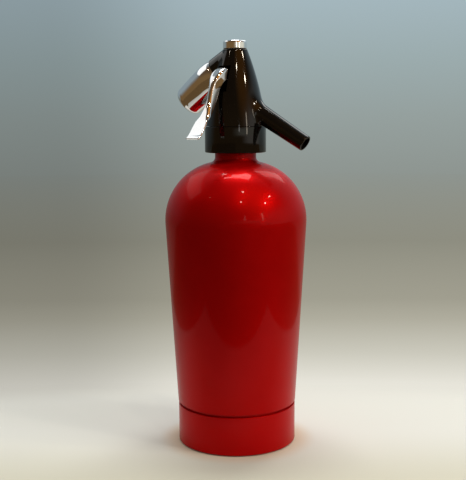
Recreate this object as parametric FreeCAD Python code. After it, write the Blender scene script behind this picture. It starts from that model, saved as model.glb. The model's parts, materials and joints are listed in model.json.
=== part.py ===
"""Soda siphon: a bottle, a screw-on head with a lever valve, a spout and a gas bulb holder.

Millimetres, +Z up. The origin is on the bottle's axis, in the plane that it stands on, and the
spout points along +X. Slanted pieces are made upright, with +Z pointing away from the head, and are
then laid along their own line.
"""
import FreeCAD, Part
import math
import os

# ---------------------------------------------------------------- bottle
base_radius = 44.2            # outside of the base cup
base_cup_height = 29.0        # top edge of the base cup
base_cup_wall = 1.8
base_cup_floor = 2.4
cup_fit = 0.1                 # gap between the bottle and the cup's wall
groove_height = 2.0           # dark groove between the cup and the body
body_overhang = 0.3           # how far the body's foot stands out over the cup
widest_radius = 52.5          # body at the foot of the shoulder
shoulder_height = 168.0       # height of the widest place
shoulder_radius = 43.8        # radius of the rounded shoulder
bottle_wall = 1.5
bottle_corner = 6.0           # rounding at the bottle's foot
dome_foot_radius = 30.0       # where the pressed-in bottom dome starts
dome_rise = 6.0
neck_radius = 15.2
neck_bore_radius = 12.6
neck_fillet = 4.0             # hollow curve between shoulder and neck
neck_rise = 66.0              # top of the neck above the widest place
thread_depth = 1.4
thread_pitch = 3.0
thread_turns = 4
thread_drop = 13.0            # start of the thread below the top of the neck

# ---------------------------------------------------------------- foot ring and measuring tube
foot_ring_inset = 7.2         # from the cup's outside to the middle of the ring
foot_ring_width = 6.4
foot_ring_thickness = 2.2
foot_ring_proud = 0.6         # how far the ring stands below the cup
measuring_tube_length = 56.0
measuring_tube_wall = 1.1
measuring_tube_fit = 0.3
measuring_flange_radius = 14.4
measuring_flange = 1.2
neck_gasket_thickness = 1.8
neck_gasket_bore = 7.6

# ---------------------------------------------------------------- collar
collar_radius = 22.6
collar_skirt = 19.0           # how far the collar hangs below the head's seat
collar_wall = 3.0
collar_lip = 2.0              # height of the skirt's lower lip
collar_lip_fit = 0.6          # gap between the lip and the neck's thread
collar_gap = 0.3              # running gap between the collar and the cover
nut_thread_fit = 0.2          # gap between the nut's bore and the neck's thread
nut_flange_fit = 0.2
nut_lip_thickness = 2.0
nut_lip_room = 2.0            # gap between the nut's lip and the column
nut_wall = 2.0                # from the valve body's flange to the collar's bore
nut_neck_wall = 0.8

# ---------------------------------------------------------------- valve body and riser
flange_thickness = 2.4
column_radius = 12.4
column_fit = 0.1              # gap between the column and what the cover has round it
seat_ring_thickness = 2.0
seat_ring_width = 2.8
valve_seat_rise = 8.0         # valve seat above the head's seat
valve_seat_thickness = 2.5
chamber_radius = 3.7
chamber_length = 9.9          # from the valve seat to the gland's seal
passage_radius = 1.9
gland_radius = 3.8
gland_depth = 3.1             # how far the gland's hole goes into the column
gland_seal_thickness = 1.5
gland_nut_height = 4.6
gland_notch_width = 1.2
gland_notch_depth = 0.9
riser_radius = 3.3
riser_wall = 1.0
riser_bottom = 14.0
riser_socket = 5.0            # how far the riser's seat goes up into the valve body
riser_seal_thickness = 1.5
union_wall = 0.9
union_length = 7.0
sleeve_wall = 0.8
sleeve_length = 5.8
slip = 0.03                   # gap of a push fit within one assembly

# ---------------------------------------------------------------- stem and spring
stem_radius = 1.6
stem_reach = 6.55             # how far the stem passes the lift collar
washer_inset = 0.2            # the washer is this much smaller than the stem's foot
washer_thickness = 2.2
stem_foot_room = 0.3          # gap round the stem's foot in its chamber
stem_foot_thickness = 1.6
stem_fit = 0.06               # running gap round the stem in its gland
lift_collar_margin = 0.65     # how far the lift collar reaches past the spring
lift_collar_height = 2.5
lift_gap = 0.15               # gap between the lever's fork and the lift collar at rest
spring_radius = 4.1
spring_wire_radius = 0.45
spring_turns = 5.0

# ---------------------------------------------------------------- head cover and top cap
cover_height = 55.3
cover_middle_radius = 17.95
cover_middle_rise = 26.7      # height of that radius above the seam with the collar
cover_top_radius = 9.2
cover_edge = 0.8              # rounding of the cover's top edge
cover_wall = 2.4
cover_ceiling = 3.6
rib_angles = (48.0, 100.0, 222.0, 312.0)
rib_thickness = 2.0
rib_length = 15.1
cap_inset = 0.5               # from the cover's top edge to the cap's side
cap_height = 7.0
cap_dome = 1.1
cap_edge = 1.6
cap_gasket_thickness = 0.4
cap_gasket_margin = 0.5
cap_shank_length = 7.0
cap_shank_wall = 0.7
cap_spring_fit = 0.35         # gap between the spring and the cap's bore
cap_spring_room = 4.0         # depth of the cap's bore
shank_fit = 0.05

# ---------------------------------------------------------------- spout
spout_rise = 21.7             # where its line crosses the head's axis, above the cover's seam
spout_drop = 31.0             # degrees below the horizontal
spout_length = 66.0           # from the head's axis to the mouth
spout_root_radius = 7.1
spout_tip_radius = 5.85
spout_root = 14.0
spout_flare_radius = 9.0      # the spout widens into the cover
spout_flare_end = 25.0
spout_tube_radius = 3.4
spout_tube_wall = 0.9
spout_tube_start = 9.5
port_radius = 1.8             # hole from the valve chamber to the spout
spout_mouth_wall = 1.15       # wall of the spout round the nozzle
nozzle_bore = 2.8
nozzle_depth = 11.0           # from the mouth to the nozzle's inner end
nozzle_inset = 3.0            # from the mouth to its outer end
nozzle_socket = 3.0           # how far the spout's tube goes into it

# ---------------------------------------------------------------- bulb holder's line and inlet
holder_azimuth = 180.0        # degrees, anticlockwise from the spout, seen from above
holder_drop = 38.6            # degrees below the horizontal
holder_line_drop = 5.6        # where its line crosses the head's axis, below the cover's top
boss_root_radius = 8.8
boss_start = 2.0
boss_end_radius = 10.9
boss_end = 16.4
boss_plate = 2.6              # thickness of the wall between the boss and the head's inside
socket_wall = 1.5
socket_fit = 0.4              # gap between the holder's mouth and its socket
socket_opening = 5.6          # from the boss's end to where the socket has opened fully
inlet_flange_width = 1.4
inlet_flange = 1.4
inlet_flange_room = 0.3       # gap round the flange
inlet_shank_wall = 2.1
inlet_reach = 6.8             # how far the inlet stands out of the boss
bulb_seat_depth = 1.4         # bottom of the bulb's hole, behind the boss's end
bulb_neck_fit = 0.2
thread_ring_wall = 2.2
thread_ring_length = 5.5
bulb_seal_thickness = 1.5
pin_radius = 1.0
pin_bore = 0.4
pin_depth = 1.9               # how far the pin is sunk below the bulb's seat
pin_reach = 3.4               # how far it stands above the seat
pin_point_rim = 0.1           # width of the pin's sharp end
gas_tube_wall_gap = 0.4       # brass left between the gas tube and the gland's hole
gas_tube_radius = 0.7
gas_tube_bore = 0.4
gas_tube_seat = 2.0
gas_tube_drop = 15.0          # its top end, below the place where the holder's line starts
gas_bore_radius = 0.6
gas_lug_radius = 1.5          # lug of the inlet that the gas tube goes up into
gas_lug_socket = 2.8          # how far the tube goes up into it
gas_lug_cap = 1.0             # the lug above the tube's end
stem_room_fit = 0.4           # free space round the gland nut inside the head

# ---------------------------------------------------------------- gas bulb and its holder
bulb_radius = 9.0
bulb_neck_radius = 4.3
bulb_neck_length = 7.0
bulb_shoulder_length = 5.5
bulb_wall = 1.2
bulb_hole_radius = 1.2        # hole that the pin has made in the bulb's cap
bulb_seal_gap = 0.1
holder_side = [               # the holder's radius at distances from the boss's end
    (10.4, 0.4), (11.8, 4.1), (12.5, 9.6), (12.3, 17.6), (12.0, 24.6), (11.5, 32.1)]
holder_side_corner = (10.3, 35.7)  # a place on the rounding of its closed end
holder_side_end = (7.2, 36.9)
holder_reach = 37.4           # its closed end, from the boss's end
holder_thread_fit = 0.08
bulb_room = 0.75              # gap between the bulb and the holder's bore
holder_thread_length = 5.8
holder_end_wall = 1.7
liner_place = 15.6            # start of the liner, from the boss's end
liner_length = 12.5
liner_margin = 1.0            # straight bore past the liner
liner_wall = 0.4
pad_radius = 5.5
pad_thickness = 1.2

# ---------------------------------------------------------------- lever
lever_azimuth = 261.0         # degrees, anticlockwise from the spout, seen from above
pivot_radius = 10.5           # distance of the pivot pin from the head's axis
pivot_drop = 17.6             # the pivot pin's height below the cover's top
lever_pin_radius = 1.5
lever_pin_fit = 0.05
lever_web = 1.4
lever_cheek = 1.1
lever_play = 0.9              # gap between the lever and each side of its slot
lever_line = [                # the outer face, as distance and height from the pivot
    (-4.0, 3.9), (1.5, 4.4), (7.0, 3.4), (12.0, 0.2), (16.0, -5.0), (18.7, -11.5),
    (20.9, -18.5), (23.5, -25.2), (27.1, -31.8), (31.7, -38.2), (35.7, -43.2), (38.9, -45.4)]
cheek_line = [                # the free edge of the folded cheeks, to where it meets the face
    (-2.0, -3.6), (4.0, -4.2), (8.1, -6.4), (10.1, -11.0), (12.1, -16.6), (15.1, -22.2),
    (19.5, -27.4), (25.5, -32.4), (33.5, -36.0)]
lever_widths = [              # height from the pivot, and half the lever's width there
    (1.0, 4.5), (-3.5, 3.9), (-7.5, 2.8), (-12.0, 2.3), (-18.5, 2.3), (-24.0, 3.0),
    (-29.0, 4.2), (-34.0, 5.2), (-38.5, 5.7), (-44.0, 5.8)]
fork_reach = 1.5              # how far the fork passes the stem's axis
fork_finger = 1.2
fork_below = 1.4              # the fork's lower side, below the pivot
fork_above = 1.8
slot_below = 13.0
slot_above = 5.6
lug_thickness = 2.4
lug_half_height = 5.0
lug_reach = 3.0               # from the pivot to the lugs' inner face
lug_blind = 0.2               # plastic left outside the pivot pin's end

# ---------------------------------------------------------------- sizes that follow
cup_floor_top = foot_ring_proud + base_cup_floor
foot_ring_radius = base_radius - foot_ring_inset
bottle_seat_radius = base_radius - base_cup_wall - cup_fit
body_foot_radius = base_radius + body_overhang
body_foot = base_cup_height + groove_height
shoulder_centre = (widest_radius - shoulder_radius, shoulder_height)
neck_top = shoulder_height + neck_rise
thread_start = neck_top - thread_drop
thread_radius = neck_radius + thread_depth
measuring_flange_top = neck_top + measuring_flange
head_seat = measuring_flange_top + neck_gasket_thickness

collar_bottom = head_seat - collar_skirt
collar_bore = collar_radius - collar_wall
collar_lip_bore = thread_radius + collar_lip_fit
flange_radius = collar_bore - nut_wall
flange_top = head_seat + flange_thickness
flange_bore = flange_radius + nut_flange_fit
nut_neck_radius = flange_bore + nut_neck_wall
nut_lip_bore = column_radius + nut_lip_room
nut_lip_bottom = flange_top + nut_flange_fit
nut_top = nut_lip_bottom + nut_lip_thickness
seat_ring_radius = column_radius + seat_ring_width
seat_ring_bottom = nut_top + collar_gap
seat_ring_top = seat_ring_bottom + seat_ring_thickness
rib_top = seat_ring_top + rib_length

valve_seat_height = head_seat + valve_seat_rise
valve_seat_top = valve_seat_height + valve_seat_thickness
washer_top = valve_seat_top + washer_thickness
stem_foot_top = washer_top + stem_foot_thickness
stem_foot_radius = chamber_radius - stem_foot_room
washer_radius = stem_foot_radius - washer_inset
chamber_top = valve_seat_top + chamber_length
gland_seal_top = chamber_top + gland_seal_thickness
column_top = chamber_top + gland_depth
riser_bore = riser_radius - riser_wall
riser_top = head_seat + riser_socket - riser_seal_thickness
union_radius = riser_radius + union_wall

cover_radius = collar_radius
cover_bottom = head_seat + collar_gap
cover_top = cover_bottom + cover_height
cover_middle = (cover_middle_radius, cover_bottom + cover_middle_rise)
cover_inside_top = cover_top - cover_ceiling
stem_room_radius = gland_radius + stem_room_fit
cap_radius = cover_top_radius - cap_inset
cap_bottom = cover_top + cap_gasket_thickness
cap_top = cap_bottom + cap_height
cap_shank_bottom = cap_bottom - cap_shank_length
cap_spring_bore = spring_radius + spring_wire_radius + cap_spring_fit
cap_shank_radius = cap_spring_bore + cap_shank_wall
spring_top = cap_shank_bottom + cap_spring_room

pivot_height = cover_top - pivot_drop
lever_face = [(pivot_radius + x, pivot_height + z) for x, z in lever_line]
lever_cheek_edge = [(pivot_radius + x, pivot_height + z) for x, z in cheek_line]
lever_half_widths = [(pivot_height + height, half) for height, half in lever_widths]
fork_bottom = pivot_height - fork_below
fork_top = pivot_height + fork_above
slot_bottom = pivot_height - slot_below
slot_top = pivot_height + slot_above
slot_half_width = lever_half_widths[0][1] + lever_play
lug_bottom = pivot_height - lug_half_height
lug_top = pivot_height + lug_half_height
lug_inner = pivot_radius - lug_reach
lift_collar_bottom = fork_top + lift_gap
lift_collar_top = lift_collar_bottom + lift_collar_height
lift_collar_radius = spring_radius + spring_wire_radius + lift_collar_margin
stem_top = lift_collar_top + stem_reach

spout_height = cover_bottom + spout_rise
spout_tube_bore = spout_tube_radius - spout_tube_wall
spout_seat = (spout_tube_start * math.cos(math.radians(spout_drop)),
              spout_height - spout_tube_start * math.sin(math.radians(spout_drop)))
nozzle_radius = spout_tip_radius - spout_mouth_wall
nozzle_start = spout_length - nozzle_depth
nozzle_end = spout_length - nozzle_inset
spout_tube_end = nozzle_start + nozzle_socket

holder_height = cover_top - holder_line_drop
plate_start = boss_end - boss_plate
socket_widest = boss_end + socket_opening
socket_reach = boss_end + 2 * cover_radius
inlet_shank_radius = bulb_neck_radius + bulb_neck_fit + inlet_shank_wall
inlet_flange_radius = inlet_shank_radius + inlet_flange_width
inlet_end = boss_end + inlet_reach
thread_ring_radius = inlet_shank_radius + thread_ring_wall
bulb_seat = boss_end - bulb_seat_depth
bulb_tip = bulb_seat + bulb_seal_thickness + bulb_seal_gap
pin_start = bulb_seat - pin_depth
pin_point = bulb_seat + pin_reach
gas_tube_distance = gland_radius + gas_tube_wall_gap + gas_tube_radius
gas_tube_top = holder_height - gas_tube_drop
gas_lug_bottom = gas_tube_top - gas_lug_socket
gas_lug_top = gas_tube_top + gas_lug_cap
holder_profile = [(radius, boss_end + place) for radius, place in holder_side]
holder_corner = (holder_side_corner[0], boss_end + holder_side_corner[1])
holder_end_edge = (holder_side_end[0], boss_end + holder_side_end[1])
holder_end = boss_end + holder_reach
holder_inside_end = holder_end - holder_end_wall
holder_mouth_radius, holder_start = holder_profile[0]
holder_belly_radius = max(radius for radius, place in holder_profile)
holder_bore = bulb_radius + bulb_room
liner_start = boss_end + liner_place
liner_end = liner_start + liner_length
bulb_end = holder_inside_end - pad_thickness - bulb_seal_gap
far = 400.0                   # longer than anything, for cutting tools

ORIGIN = FreeCAD.Vector(0, 0, 0)
ALONG_Y = FreeCAD.Vector(0, 1, 0)
ALONG_Z = FreeCAD.Vector(0, 0, 1)


# ---------------------------------------------------------------- drawing helpers
def at(radius, height):
    """A point of a half section, from its distance to the axis and its height."""
    return FreeCAD.Vector(radius, 0, height)


def line(start, end):
    return Part.LineSegment(at(*start), at(*end)).toShape()


def arc(start, middle, end):
    return Part.Arc(at(*start), at(*middle), at(*end)).toShape()


def arc_about(centre, radius, start, end):
    """The shorter arc about a centre from the direction of one point to that of another."""
    def toward(point, other=None):
        dx = point[0] - centre[0]
        dz = point[1] - centre[1]
        if other:
            dx = dx / math.dist(point, centre) + (other[0] - centre[0]) / math.dist(other, centre)
            dz = dz / math.dist(point, centre) + (other[1] - centre[1]) / math.dist(other, centre)
        size = math.hypot(dx, dz)
        return (centre[0] + radius * dx / size, centre[1] + radius * dz / size)
    return arc(toward(start), toward(start, end), toward(end))


def crown(edge, tip):
    """A shallow dome, from its edge to its tip on the axis."""
    rise = tip - edge[1]
    radius = (edge[0] ** 2 + rise ** 2) / (2 * rise)
    half = math.asin(edge[0] / radius) / 2
    return arc(edge, (radius * math.sin(half), tip - radius + radius * math.cos(half)), (0, tip))


def curve(points):
    """A smooth curve through points of a section."""
    spline = Part.BSplineCurve()
    spline.interpolate([at(*point) for point in points])
    return spline.toShape()


def outline(points):
    """Straight edges through the points."""
    return [line(a, b) for a, b in zip(points, points[1:])]


def turned(edges):
    """Turns a closed half section about the Z axis."""
    face = Part.Face(Part.Wire(edges))
    return face.revolve(ORIGIN, ALONG_Z, 360)


def turned_points(points):
    return turned(outline(points + points[:1]))


def disc(radius, bottom, top):
    return Part.makeCylinder(radius, top - bottom, FreeCAD.Vector(0, 0, bottom))


def ring(outer, inner, bottom, top):
    return disc(outer, bottom, top).cut(disc(inner, bottom - 1, top + 1))


def box(x0, x1, y0, y1, z0, z1):
    return Part.makeBox(x1 - x0, y1 - y0, z1 - z0, FreeCAD.Vector(x0, y0, z0))


def turned_to(shape, azimuth):
    shape = shape.copy()
    shape.rotate(ORIGIN, ALONG_Z, azimuth)
    return shape


def along(shape, azimuth, drop, height):
    """Lays an upright piece along a line that leaves the axis and drops away from it."""
    shape = shape.copy()
    shape.rotate(ORIGIN, ALONG_Y, 90 + drop)
    shape.rotate(ORIGIN, ALONG_Z, azimuth)
    shape.translate(FreeCAD.Vector(0, 0, height))
    return shape


def along_spout(shape):
    return along(shape, 0, spout_drop, spout_height)


def along_holder(shape):
    return along(shape, holder_azimuth, holder_drop, holder_height)


def slab(edges, half_width):
    """A section in the XZ plane, made as wide as given to each side of it."""
    face = Part.Face(Part.Wire(edges))
    face.translate(FreeCAD.Vector(0, -half_width, 0))
    return face.extrude(FreeCAD.Vector(0, 2 * half_width, 0))


def joined(shapes):
    whole = shapes[0].fuse(shapes[1:]) if len(shapes) > 1 else shapes[0]
    return whole.removeSplitter()


# ---------------------------------------------------------------- bottle
def tangent_point(point, centre, radius):
    """Where a line from the point, rising on the outside, touches the circle."""
    gap = math.dist(point, centre)
    direction = math.atan2(point[1] - centre[1], point[0] - centre[0])
    angle = direction + math.acos(radius / gap)
    return (centre[0] + radius * math.cos(angle), centre[1] + radius * math.sin(angle))


def bottle_form(inset, neck, top):
    """The bottle's solid form, moved in by the inset, with its own neck radius and top."""
    bottom = cup_floor_top + inset
    side = bottle_seat_radius - inset
    corner = bottle_corner - inset
    dome_foot = dome_foot_radius - inset
    foot = (body_foot_radius - inset, body_foot + inset)
    radius = shoulder_radius - inset
    fillet = neck_fillet + inset
    tangent = tangent_point(foot, shoulder_centre, radius)
    fillet_x = neck + fillet
    fillet_z = shoulder_height + math.sqrt((radius + fillet) ** 2
                                           - (fillet_x - shoulder_centre[0]) ** 2)
    fillet_centre = (fillet_x, fillet_z)
    corner_centre = (side - corner, bottom + corner)
    shoulder = arc_about(shoulder_centre, radius, tangent, fillet_centre)
    shoulder_end = shoulder.Vertexes[1].Point
    hollow = arc_about(fillet_centre, fillet, (shoulder_end.x, shoulder_end.z), (neck, fillet_z))
    edges = [
        crown((dome_foot, bottom), bottom + dome_rise),
        line((dome_foot, bottom), (side - corner, bottom)),
        arc_about(corner_centre, corner, (side - corner, bottom), (side, bottom + corner)),
        line((side, bottom + corner), (side, foot[1])),
        line((side, foot[1]), foot),
        line(foot, tangent),
        shoulder,
        hollow,
        line((neck, fillet_z), (neck, top)),
        line((neck, top), (0, top)),
        line((0, top), (0, bottom + dome_rise))]
    return turned(edges)


def neck_thread():
    """Raised ridges round the neck, one for each turn of its thread."""
    ridges = []
    for turn in range(thread_turns):
        bottom = thread_start + turn * thread_pitch
        root = neck_radius - 0.5 * bottle_wall
        ridges.append(turned_points([
            (root, bottom), (neck_radius, bottom), (thread_radius, bottom + 0.3 * thread_pitch),
            (thread_radius, bottom + 0.5 * thread_pitch), (neck_radius, bottom + 0.8 * thread_pitch),
            (root, bottom + 0.8 * thread_pitch)]))
    return ridges


def bottle_shell():
    shell = bottle_form(0, neck_radius, neck_top)
    hollow = bottle_form(bottle_wall, neck_bore_radius, neck_top + 1)
    return joined([shell.cut(hollow)] + neck_thread())


def base_cup():
    inside = base_radius - base_cup_wall
    bottom = foot_ring_proud
    lip = base_cup_wall / 3
    groove_top = foot_ring_thickness
    ring_inner = foot_ring_radius - foot_ring_width / 2 - slip
    ring_outer = foot_ring_radius + foot_ring_width / 2 + slip
    return turned_points([
        (0, bottom), (ring_inner, bottom), (ring_inner, groove_top), (ring_outer, groove_top),
        (ring_outer, bottom), (base_radius - lip, bottom), (base_radius, bottom + lip),
        (base_radius, base_cup_height - lip), (base_radius - lip, base_cup_height),
        (inside, base_cup_height), (inside, cup_floor_top), (0, cup_floor_top)])


def foot_ring():
    inner = foot_ring_radius - foot_ring_width / 2
    outer = foot_ring_radius + foot_ring_width / 2
    return ring(outer, inner, 0, foot_ring_thickness)


def measuring_tube():
    outer = neck_bore_radius - measuring_tube_fit
    inner = outer - measuring_tube_wall
    tube = ring(outer, inner, neck_top - measuring_tube_length, measuring_flange_top)
    flange = ring(measuring_flange_radius, inner, neck_top, measuring_flange_top)
    return joined([tube, flange])


def neck_gasket():
    return ring(measuring_flange_radius, neck_gasket_bore, measuring_flange_top, head_seat)


# ---------------------------------------------------------------- collar
def screw_collar():
    edge = collar_wall / 4
    top = cover_bottom - collar_gap
    return turned_points([
        (collar_lip_bore, collar_bottom), (collar_radius - edge, collar_bottom),
        (collar_radius, collar_bottom + edge), (collar_radius, top - edge),
        (collar_radius - edge, top), (collar_bore, top),
        (collar_bore, collar_bottom + collar_lip), (collar_lip_bore, collar_bottom + collar_lip)])


def collar_nut():
    thread_bore = thread_radius + nut_thread_fit
    bottom = collar_bottom + collar_lip
    step = cover_bottom - collar_gap
    return turned_points([
        (thread_bore, bottom), (collar_bore - slip, bottom), (collar_bore - slip, step),
        (nut_neck_radius, step), (nut_neck_radius, nut_top), (nut_lip_bore, nut_top),
        (nut_lip_bore, nut_lip_bottom), (flange_bore, nut_lip_bottom),
        (flange_bore, head_seat - nut_flange_fit), (thread_bore, head_seat - nut_flange_fit)])


# ---------------------------------------------------------------- valve body and riser
def valve_body():
    body = joined([disc(flange_radius, head_seat, flange_top),
                   disc(column_radius, head_seat, column_top)])
    gas_line = FreeCAD.Vector(gas_tube_distance, 0, head_seat - 1)
    gas_bore = Part.makeCylinder(gas_bore_radius, column_top - head_seat, gas_line)
    gas_seat = Part.makeCylinder(gas_tube_radius + slip, far,
                                 FreeCAD.Vector(gas_tube_distance, 0, column_top - gas_tube_seat))
    port = Part.makeCylinder(port_radius, spout_seat[0] + 1, FreeCAD.Vector(0, 0, spout_seat[1]),
                             FreeCAD.Vector(1, 0, 0))
    cuts = [
        disc(riser_radius + slip, head_seat - 1, head_seat + riser_socket),
        disc(passage_radius, head_seat, valve_seat_height + 1),
        disc(chamber_radius, valve_seat_height, chamber_top),
        disc(gland_radius, chamber_top, far),
        port,
        along_holder(holder_room(socket_fit + socket_wall + column_fit, plate_start)),
        along_spout(disc(spout_tube_radius + slip, spout_tube_start, far)),
        turned_to(gas_bore, holder_azimuth),
        turned_to(gas_seat, holder_azimuth)]
    return body.cut(cuts)


def cover_seat_ring():
    return ring(seat_ring_radius, column_radius + slip, seat_ring_bottom, seat_ring_top)


def valve_seat():
    lip = valve_seat_thickness / 5
    outer = chamber_radius - slip
    return turned_points([
        (passage_radius, valve_seat_height), (outer, valve_seat_height),
        (outer, valve_seat_top - lip), (passage_radius + 2 * lip, valve_seat_top - lip),
        (passage_radius + lip, valve_seat_top), (passage_radius, valve_seat_top)])


def gland_seal():
    return ring(gland_radius - slip, stem_radius + stem_fit, chamber_top, gland_seal_top)


def gland_nut():
    top = gland_seal_top + gland_nut_height
    nut = ring(gland_radius - slip, stem_radius + stem_fit, gland_seal_top, top)
    notch = box(-far, far, -gland_notch_width / 2, gland_notch_width / 2, top - gland_notch_depth, far)
    return nut.cut(notch)


def riser_tube():
    return ring(riser_radius, riser_bore, riser_bottom, riser_top)


def riser_seal():
    return ring(riser_radius, riser_bore, riser_top, riser_top + riser_seal_thickness)


def riser_union():
    return ring(union_radius, riser_radius + slip, head_seat - union_length, head_seat)


def check_sleeve():
    inner = union_radius + slip
    middle = head_seat - union_length / 2
    return ring(inner + sleeve_wall, inner, middle - sleeve_length / 2, middle + sleeve_length / 2)


# ---------------------------------------------------------------- stem and spring
def valve_washer():
    return disc(washer_radius, valve_seat_top, washer_top)


def valve_stem():
    return joined([disc(stem_foot_radius, washer_top, stem_foot_top),
                   disc(stem_radius, washer_top, stem_top)])


def lift_collar():
    return ring(lift_collar_radius, stem_radius + slip, lift_collar_bottom, lift_collar_top)


def valve_spring():
    bottom = lift_collar_top + spring_wire_radius
    height = spring_top - spring_wire_radius - bottom
    path = Part.makeHelix(height / spring_turns, height, spring_radius)
    section = Part.Wire(Part.makeCircle(spring_wire_radius, FreeCAD.Vector(spring_radius, 0, 0),
                                        ALONG_Y))
    spring = Part.Wire(path).makePipeShell([section], True, True)
    spring.translate(FreeCAD.Vector(0, 0, bottom))
    return spring


# ---------------------------------------------------------------- head cover and top cap
def cover_form():
    """The cover's outside without the spout and the boss."""
    edge = cover_edge
    return turned([
        line((0, cover_bottom), (cover_radius, cover_bottom)),
        arc((cover_radius, cover_bottom), cover_middle, (cover_top_radius, cover_top - edge)),
        line((cover_top_radius, cover_top - edge), (cover_top_radius - edge, cover_top)),
        line((cover_top_radius - edge, cover_top), (0, cover_top)),
        line((0, cover_top), (0, cover_bottom))])


def cover_cavity():
    ceiling = cover_inside_top
    middle = (cover_middle[0] - cover_wall, cover_middle[1])
    return turned([
        line((0, cover_bottom - 1), (cover_radius - cover_wall, cover_bottom - 1)),
        line((cover_radius - cover_wall, cover_bottom - 1), (cover_radius - cover_wall, cover_bottom)),
        arc((cover_radius - cover_wall, cover_bottom), middle, (cover_top_radius - cover_wall, ceiling)),
        line((cover_top_radius - cover_wall, ceiling), (0, ceiling)),
        line((0, ceiling), (0, cover_bottom - 1))])


def spout_form():
    """The moulded spout, which widens where it leaves the cover and stops at the cover's seam."""
    slope = (spout_root_radius - spout_tip_radius) / (spout_length - spout_root)
    flare_end_radius = spout_root_radius - slope * (spout_flare_end - spout_root)
    tube = Part.makeCone(spout_root_radius, spout_tip_radius, spout_length - spout_root,
                         FreeCAD.Vector(0, 0, spout_root))
    flare = Part.makeCone(spout_flare_radius, flare_end_radius, spout_flare_end - spout_root,
                          FreeCAD.Vector(0, 0, spout_root))
    flare = along_spout(flare).common(disc(far, cover_bottom, cover_top))
    return joined([along_spout(tube), flare])


def boss_form():
    boss = Part.makeCone(boss_root_radius, boss_end_radius, boss_end - boss_start,
                         FreeCAD.Vector(0, 0, boss_start))
    return along_holder(boss).common(disc(far, cover_bottom, cover_top - cover_edge))


def holder_room(gap, start):
    """The space that the holder takes in the cover, with a gap round it, from a start outwards."""
    belly = holder_belly_radius + gap
    return turned_points([(0, start), (holder_mouth_radius + gap, start), (belly, socket_widest),
                          (belly, socket_reach), (0, socket_reach)])


def cover_ribs():
    ribs = []
    for angle in rib_angles:
        rib = box(column_radius + column_fit, far, -rib_thickness / 2, rib_thickness / 2,
                  seat_ring_top, rib_top)
        ribs.append(turned_to(rib, angle).common(cover_form()))
    return ribs


def pivot_lugs():
    """Two lugs inside the cover, one each side of the slot, that hold the pivot pin."""
    lugs = []
    for side in (-1, 1):
        inner = side * slot_half_width
        outer = side * (slot_half_width + lug_thickness)
        lug = box(lug_inner, far, min(inner, outer), max(inner, outer), lug_bottom, lug_top)
        lugs.append(turned_to(lug, lever_azimuth).common(cover_form()))
    return lugs


def gas_tube_hole():
    return Part.makeCylinder(gas_tube_radius + slip, gas_tube_top - column_top,
                             FreeCAD.Vector(gas_tube_distance, 0, column_top))


def gas_lug(gap):
    return Part.makeCylinder(gas_lug_radius + gap, gas_lug_top - gas_lug_bottom + gap,
                             FreeCAD.Vector(gas_tube_distance, 0, gas_lug_bottom))


def head_cover():
    outside = joined([cover_form(), spout_form(), boss_form()])
    socket = along_holder(holder_room(socket_fit + socket_wall, plate_start))
    stem_room = disc(stem_room_radius, cover_bottom, cover_inside_top)
    cover = joined([outside.cut(cover_cavity()), socket.common(cover_form()).cut(stem_room)]
                   + cover_ribs() + pivot_lugs())
    slot = box(lug_inner, far, -slot_half_width, slot_half_width, slot_bottom, slot_top)
    flange_room = along_holder(disc(inlet_flange_radius + inlet_flange_room, 0, plate_start))
    cuts = [
        along_holder(holder_room(socket_fit, boss_end)),
        along_holder(disc(inlet_shank_radius + slip, plate_start - 1, boss_end + 1)),
        flange_room.common(disc(far, cover_bottom, cover_inside_top)),
        turned_to(slot, lever_azimuth),
        pin_line(lever_pin_radius + slip, -far, slot_half_width + lug_thickness - lug_blind),
        along_spout(disc(spout_tube_radius + slip, spout_tube_start, nozzle_start + 1)),
        along_spout(disc(nozzle_radius + slip, nozzle_start, far)),
        disc(cap_shank_radius + shank_fit, cap_shank_bottom, far),
        turned_to(gas_tube_hole(), holder_azimuth),
        turned_to(gas_lug(slip), holder_azimuth)]
    return cover.cut(cuts)


def top_cap():
    side = cap_radius
    dome_edge = (side - cap_edge, cap_top - cap_dome)
    return turned([
        line((0, spring_top), (cap_spring_bore, spring_top)),
        line((cap_spring_bore, spring_top), (cap_spring_bore, cap_shank_bottom)),
        line((cap_spring_bore, cap_shank_bottom), (cap_shank_radius, cap_shank_bottom)),
        line((cap_shank_radius, cap_shank_bottom), (cap_shank_radius, cap_bottom)),
        line((cap_shank_radius, cap_bottom), (side, cap_bottom)),
        line((side, cap_bottom), (side, dome_edge[1] - cap_edge)),
        arc_about((side - cap_edge, dome_edge[1] - cap_edge), cap_edge,
                  (side, dome_edge[1] - cap_edge), dome_edge),
        crown(dome_edge, cap_top),
        line((0, cap_top), (0, spring_top))])


def cap_gasket():
    return ring(cap_radius - cap_gasket_margin, cap_shank_radius + slip, cover_top, cap_bottom)


# ---------------------------------------------------------------- spout's inside
def spout_tube():
    return along_spout(ring(spout_tube_radius, spout_tube_bore, spout_tube_start, spout_tube_end))


def spout_nozzle():
    sleeve = ring(nozzle_radius, nozzle_bore, nozzle_start, nozzle_end)
    return along_spout(sleeve.cut(disc(spout_tube_radius + slip, nozzle_start - 1, spout_tube_end)))


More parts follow.
